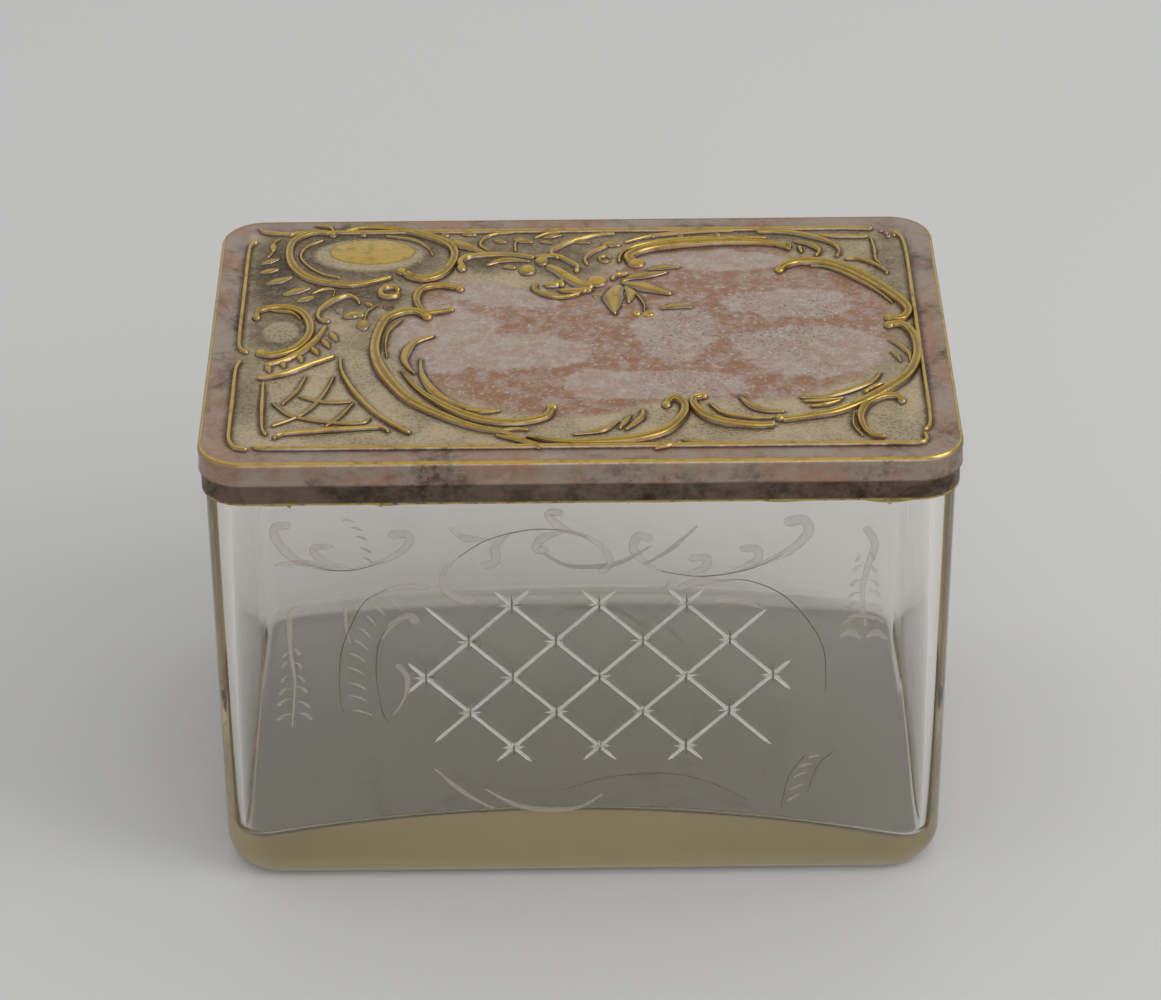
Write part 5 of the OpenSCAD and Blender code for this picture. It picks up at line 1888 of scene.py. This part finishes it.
@dataclass
class WheelCutting:
    """Cut lattice with stars in the front wall, and frosted scrolls on the front and back walls.

    Attributes:
        vessel: the glass that is cut.
        middle: middle of the lattice, across and up, in millimetres.
        step: half the distance between crossings, across and up.
        line: half width and depth of a lattice line.
        ray: half length, half width and depth of a star's longest ray.
        fan: angle in degrees and share of the full size for each ray of a star.
        frost: finish of the front scrolls.
        faint: finish of the back scrolls.
        dark: finish of the fine lines.
        ground: finish of the cut faces.
        cement: finish of the cement line.
    """

    vessel: Vessel
    middle: Point = (3.4, 48.8)
    step: Point = (8.65, 8.4)
    line: tuple[float, float] = (0.36, 0.36)
    ray: tuple[float, float, float] = (2.5, 0.17, 0.25)
    fan: tuple[Point, ...] = ((2.0, 1.0), (17.0, 0.75), (-15.0, 0.75), (90.0, 0.7), (72.0, 0.5), (-72.0, 0.5))
    frost: Frost = Frost("frosted_cutting")
    faint: Frost = Frost("frosted_cutting_behind", (0.60, 0.52, 0.46), 0.26)
    dark: Frost = Frost("fine_dark_line", (0.16, 0.13, 0.07), 0.85)
    ground: Frost = Frost("ground_cut", (0.84, 0.82, 0.78), 0.52)
    cement: OldCement = OldCement("old_cement_line")

    def spot(self, c: float, r: float) -> Point:
        """Place of a crossing, or of a point between crossings."""
        return self.middle[0] + c * self.step[0], self.middle[1] + r * self.step[1]

    def crossings(self) -> list[tuple[int, int]]:
        """Columns and rows of the crossings: a lozenge of five rows."""
        return [(c, r) for r in range(-2, 3) for c in range(-4,
                                                            5) if (c + r) % 2 == 0 and abs(c) + abs(r) <= 4]

    def lattice(self) -> list[tuple[Point, Point]]:
        """Works out the lattice lines, with the tails that run on past the last stars.

        Returns:
            Both ends of each line.
        """
        tails = {(-1, -2): (1.0, 0.4), (-1, 2): (0.4, 1.0), (1, -2): (0.85, 0.4), (1, 2): (0.4, 0.85)}
        short = (0.42, 0.42)
        out = []
        for lean in (-1, 1):
            for total in range(-4, 5, 2):
                run = sorted(c for c, r in self.crossings() if c - lean * r == total)
                start, end = tails.get((lean, total), short)
                first, last = run[0] - start, run[-1] + end
                out.append((self.spot(first, lean * (first - total)), self.spot(last, lean * (last - total))))
        return out

    def marks(self) -> list[tuple[float, ...]]:
        """Works out the straight cuts of the lattice.

        Returns:
            Place across and up, half length, half width, depth and angle in radians of each cut.
        """
        out = []
        for (x0, z0), (x1, z1) in self.lattice():
            length = math.hypot(x1 - x0, z1 - z0)
            out.append(((x0 + x1) / 2, (z0 + z1) / 2, length / 2, *self.line, math.atan2(z1 - z0, x1 - x0)))
        return out

    def rays(self) -> list[tuple[float, ...]]:
        """Works out the rays of the stars: three fairly level and three upright cuts at each crossing.

        Returns:
            The same values as for the straight cuts.
        """
        out = []
        length, half, depth = self.ray
        for c, r in self.crossings():
            x, z = self.spot(c, r)
            for turn, share in self.fan:
                out.append((x, z, length * share, half * share, depth * share, math.radians(turn)))
        return out

    @staticmethod
    def cut_shape(shoulder: float) -> Object:
        """Builds a pointed four-sided cut of unit half length, half width and depth.

        Args:
            shoulder: share of the half length at which the cut has its full width.

        Returns:
            The cut as a closed mesh.
        """
        ring = [(0.0, 1.0), (-1.0, 0.0), (0.0, -1.0), (1.0, 0.0)]
        points = [(-1.0, 0.0, 0.0)] + [(x, y, z) for x in (-shoulder, shoulder) for y,
                                       z in ring] + [(1.0, 0.0, 0.0)]
        last = len(points) - 1
        faces = [(0, 1 + k, 1 + (k + 1) % 4) for k in range(4)]
        faces += [(1 + k, 5 + k, 5 + (k + 1) % 4, 1 + (k + 1) % 4) for k in range(4)]
        faces += [(last, last - 4 + (k + 1) % 4, last - 4 + k) for k in range(4)]
        shape = make_object("wheel_cut", points, faces, smooth=False)
        turn_outwards(shape)
        return shape

    def cutters(self, name: str, marks: Sequence[tuple[float, ...]], shoulder: float,
                material: Material) -> Object:
        """Sets a pointed cut at every mark of the front wall.

        Args:
            name: name of the cutters.
            marks: place, half length, half width, depth and angle of each cut.
            shoulder: share of the half length at which a cut has its full width.
            material: finish of the cut faces.

        Returns:
            The cutters as one mesh.
        """
        shape = self.cut_shape(shoulder)
        tree = GeometryTree("cuts_on_wall", {"Cut": ("NodeSocketObject", None),
                                             "Material": ("NodeSocketMaterial", None)})
        g = tree.start.outputs
        cut = tree.add("GeometryNodeObjectInfo", {"Object": g["Cut"]}).outputs["Geometry"]
        put = tree.add("GeometryNodeInstanceOnPoints", {"Points": g["Geometry"], "Instance": cut,
                                                        "Rotation": tree.named("turn", "FLOAT_VECTOR"),
                                                        "Scale": tree.named("size",
                                                                            "FLOAT_VECTOR")}).outputs[0]
        tree.finish(put, g["Material"])
        east, north, length, half, depth, angle = np.array(marks, float).T
        none = np.zeros(len(marks))
        cloud = make_object(name, np.stack([east * MM, none, north * MM], 1), [])
        set_vectors(cloud, "turn", np.stack([none, -angle, none], 1))
        set_vectors(cloud, "size", np.stack([length, depth, half], 1) * MM)
        tree.run(cloud, {"Cut": shape, "Material": material})
        bpy.data.objects.remove(shape)
        self.onto_wall(cloud, -1, 0.0)
        return cloud

    def onto_wall(self, obj: Object, side: int, sink: float) -> None:
        """Moves a mesh drawn on the plane y = 0 onto the drafted wall.

        Args:
            obj: the mesh.
            side: -1 for the front wall, 1 for the back wall.
            sink: how deep it is set into the glass.
        """
        lean = math.tan(self.vessel.draft)
        for vertex in obj.data.vertices:
            wall = self.vessel.half_y - (self.vessel.top - vertex.co.z) * lean
            vertex.co.y = side * (wall - sink) + vertex.co.y

    def cut(self, glass: Object) -> Object:
        """Cuts the lattice and the stars into the glass.

        Args:
            glass: the vessel.

        Returns:
            The matt skin of the cuts.
        """
        matt = self.ground.material()
        sets = (self.cutters("lattice_cutters", self.marks(), 0.93, matt),
                self.cutters("star_cutters", self.rays(), 0.6, matt))
        for cutter in sets:
            modifier = glass.modifiers.new("cut", "BOOLEAN")
            modifier.operation = "DIFFERENCE"
            modifier.solver = "EXACT"
            modifier.use_self = True
            modifier.material_mode = "TRANSFER"
            modifier.object = cutter
            settle(glass)
            bpy.data.objects.remove(cutter)
        sharpen(glass, 28)
        return self.skin(glass, matt)

    def skin(self, glass: Object, matt: Material) -> Object:
        """Takes a thin skin off the cut faces, and leaves the vessel with clear glass only.

        Args:
            glass: the vessel, whose cut faces have the second material.
            matt: finish of the skin.

        Returns:
            The skin as a closed mesh.
        """
        cut_faces = [f for f in glass.data.polygons if f.material_index == 1]
        normals: dict[int, Vector] = {}
        for face in cut_faces:
            for k in face.vertices:
                normals[k] = normals.get(k, Vector()) + face.normal
        number = {k: i for i, k in enumerate(normals)}
        clearance = 0.006 * MM
        points = [glass.data.vertices[k].co + clearance * n.normalized() for k, n in normals.items()]
        faces = [[number[k] for k in f.vertices] for f in cut_faces]
        obj = make_object("cut_lattice", points, faces, material=matt, smooth=False)
        modifier = obj.modifiers.new("skin", "SOLIDIFY")
        modifier.thickness = 0.02 * MM
        modifier.offset = 1.0
        settle(obj)
        corners = {key for f in cut_faces for key in f.edge_keys}
        sharp = [e.use_edge_sharp or e.key in corners for e in glass.data.edges]
        glass.data.edges.foreach_set("use_edge_sharp", sharp)
        glass.data.polygons.foreach_set("material_index", [0] * len(glass.data.polygons))
        glass.data.materials.pop(index=1)
        return obj

    def frosted(self, name: str, strokes: Sequence[Stroke], side: int, material: Material,
                sink: float = 0.0) -> Object:
        """Makes thin matt shapes that lie on the surface of a wall.

        Args:
            name: name of the piece.
            strokes: shapes as places across and up.
            side: -1 for the front wall, 1 for the back wall.
            material: their finish.
            sink: how deep they are set into the glass.

        Returns:
            The shapes as one mesh.
        """
        ground = square("ground", 0.2)
        lines = [lay_line(stroke, 0.5, lambda x, y, _: (x, y)) for stroke in strokes]
        obj = sweep(name, lines, 0.0, ground, material)
        bpy.data.objects.remove(ground)
        for vertex in obj.data.vertices:
            x, z, out = vertex.co
            vertex.co = (x, side * out, z)
        self.onto_wall(obj, side, sink)
        turn_outwards(obj)
        return obj

    def dress(self, glass: Object) -> None:
        """Cuts the glass and adds the frosted work and the cement line.

        Args:
            glass: the vessel.
        """
        lattice = self.cut(glass)
        scrolls = frosted_scrolls()
        behind = [replace(s, points=tuple((-x - 4, z - 1.5) for x, z in s.points)) for s in scrolls]
        lines = fine_lines() + dark_rays([self.spot(c, r) for c, r in self.crossings()])
        pieces = (lattice, self.frosted("frosted_scrolls_front", scrolls, -1, self.frost.material()),
                  self.frosted("fine_lines_front", lines, -1, self.dark.material()),
                  self.frosted("frosted_scrolls_back", behind, 1, self.faint.material()))
        for piece in pieces:
            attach(piece, Body.BASE.value)
            report(piece)
        cement = self.frosted("cement_line", cement_marks(), -1, self.cement.material(), 0.1 * MM)
        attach(cement, Body.BASE.value)
        report(cement)


def report(piece: Object) -> None:
    """Logs a finished piece."""
    count = len(piece.data.loop_triangles) or sum(len(p.vertices) - 2 for p in piece.data.polygons)
    log.info("%s: %d triangles", piece.name, count)


@dataclass
class Metalwork:
    """Finishes of the metal and cement nodes that the solids carry over.

    Attributes:
        collar: finish of the collar.
        lining: finish of the lid's lining.
        cement: finish of the cement bed.
        hinge: finish of both leaves and the pin.
    """

    collar: Plate = CollarPlate("stained_brass_collar", silver=(0.165, 0.125, 0.095),
                                rose=(0.075, 0.055, 0.037),
                                brass=(0.50, 0.37, 0.11), dark=(0.025, 0.02, 0.015), gloss=0.4)
    lining: Plate = Plate("gilt_lining", silver=(0.66, 0.50, 0.24), rose=(0.50, 0.33, 0.14), gloss=0.34,
                          rose_share=0.2)
    cement: OldCement = OldCement("old_cement")
    hinge: Plate = Plate("worn_brass_hinge", silver=(0.55, 0.42, 0.20), rose=(0.36, 0.24, 0.11), gloss=0.32)

    def dress(self) -> None:
        """Puts the finishes on the nodes."""
        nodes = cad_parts
        finishes = {"collar": self.collar.material(), "lid_liner": self.lining.material(),
                    "cement_bed": self.cement.material()}
        hinge = self.hinge.material()
        finishes.update({name: hinge for name in ("collar_leaf", "lid_leaf", "hinge_pin")})
        for name, material in finishes.items():
            obj = nodes[name]
            obj.data.materials.clear()
            obj.data.materials.append(material)
            log.info("%s: %s", name, material.name)


@dataclass(frozen=True)
class Softbox:
    """A soft rectangular lamp that faces the casket.

    Attributes:
        name: its name.
        place: where it stands, in metres.
        size: its width and height in metres.
        power: its power in watts.
        target: what it faces.
    """

    name: str
    place: Place
    size: Point
    power: float
    target: Place = (0.0, 0.0, 0.05)

    def build(self) -> None:
        """Adds the lamp to the scene."""
        light = bpy.data.lights.new(self.name, "AREA")
        light.shape = "RECTANGLE"
        light.size, light.size_y = self.size
        light.energy = self.power
        obj = bpy.data.objects.new(self.name, light)
        bpy.context.scene.collection.objects.link(obj)
        aim = (Vector(self.target) - Vector(self.place)).to_track_quat("-Z", "Y")
        obj.matrix_world = Matrix.Translation(Vector(self.place)) @ aim.to_matrix().to_4x4()


@dataclass
class Studio:
    """Pale floor, soft light and the camera of the photograph.

    Attributes:
        eye: camera place in millimetres.
        yaw: turn of the view to the right, in degrees.
        pitch: view below the horizon, in degrees.
        roll: turn about the view's own axis, in degrees.
        focus: focal length in pixels of the photograph.
        width: width of the photograph in pixels.
        sensor: width of the camera's sensor in millimetres.
        bounces: how often light may turn inside the glass.
        grey: brightness of the room.
        glow: strength of its light.
        side: half the side of the floor, in metres.
        sunk: how far the floor lies under the casket.
        paper: finish of the floor.
        lamps: the soft lamps.
    """

    eye: Place = (-3.94, -851.46, 554.55)
    yaw: float = 0.2728
    pitch: float = 30.1505
    roll: float = 0.4189
    focus: float = 4743.1
    width: int = 1161
    sensor: float = 36.0
    bounces: int = 32
    grey: float = 0.80
    glow: float = 0.92
    side: float = 3.0
    sunk: float = 0.02 * MM
    paper: Floor = Floor("pale_paper")
    lamps: tuple[Softbox, ...] = (Softbox("side_softbox", (0.85, -0.35, 0.75), (0.7, 0.7), 4.2),
                                  Softbox("front_softbox", (0.2, -1.2, 0.7), (0.8, 0.5), 1.4))

    def camera(self) -> None:
        """Sets up the camera of the photograph."""
        yaw, pitch, roll = (math.radians(a) for a in (self.yaw, self.pitch, self.roll))
        ahead = Vector((math.sin(yaw) * math.cos(pitch), math.cos(yaw) * math.cos(pitch), -math.sin(pitch)))
        right = Vector((math.cos(yaw), -math.sin(yaw), 0))
        down = ahead.cross(right)
        right, down = (math.cos(roll) * right + math.sin(roll) * down,
                       math.cos(roll) * down - math.sin(roll) * right)
        lens = bpy.data.cameras.new("photo_camera")
        lens.sensor_fit = "HORIZONTAL"
        lens.sensor_width = self.sensor
        lens.lens = self.focus * self.sensor / self.width
        lens.clip_end = 10
        obj = bpy.data.objects.new("photo_camera", lens)
        bpy.context.scene.collection.objects.link(obj)
        turn = Matrix((right, -down, -ahead)).transposed()
        obj.matrix_world = Matrix.Translation(Vector(self.eye) * MM) @ turn.to_4x4()
        bpy.context.scene.camera = obj

    def light_paths(self) -> None:
        """Lets light run on through the thick glass, which guides it along the walls to their far edges."""
        paths = bpy.context.scene.cycles
        paths.max_bounces = paths.transmission_bounces = paths.glossy_bounces = self.bounces

    def build(self) -> None:
        """Builds floor, lights and camera."""
        floor = square("floor", self.side, self.paper.material())
        floor.data.transform(Matrix.Translation((0, 0, -self.sunk)))
        world = bpy.data.worlds.new("soft_room")
        world.use_nodes = True
        background = world.node_tree.nodes["Background"]
        background.inputs["Color"].default_value = (self.grey, self.grey, self.grey, 1.0)
        background.inputs["Strength"].default_value = self.glow
        bpy.context.scene.world = world
        for lamp in self.lamps:
            lamp.build()
        self.light_paths()
        self.camera()
        view = bpy.context.scene.view_settings
        view.view_transform = "Standard"
        view.exposure = 0.0


def main() -> None:
    """Builds the parts in order: studio, glass, metalwork, lid."""
    logging.basicConfig(level=logging.INFO, format="%(message)s")
    Studio().build()
    Vessel().dress()
    Metalwork().dress()
    Lid().dress()


if __name__ == "__main__":
    main()
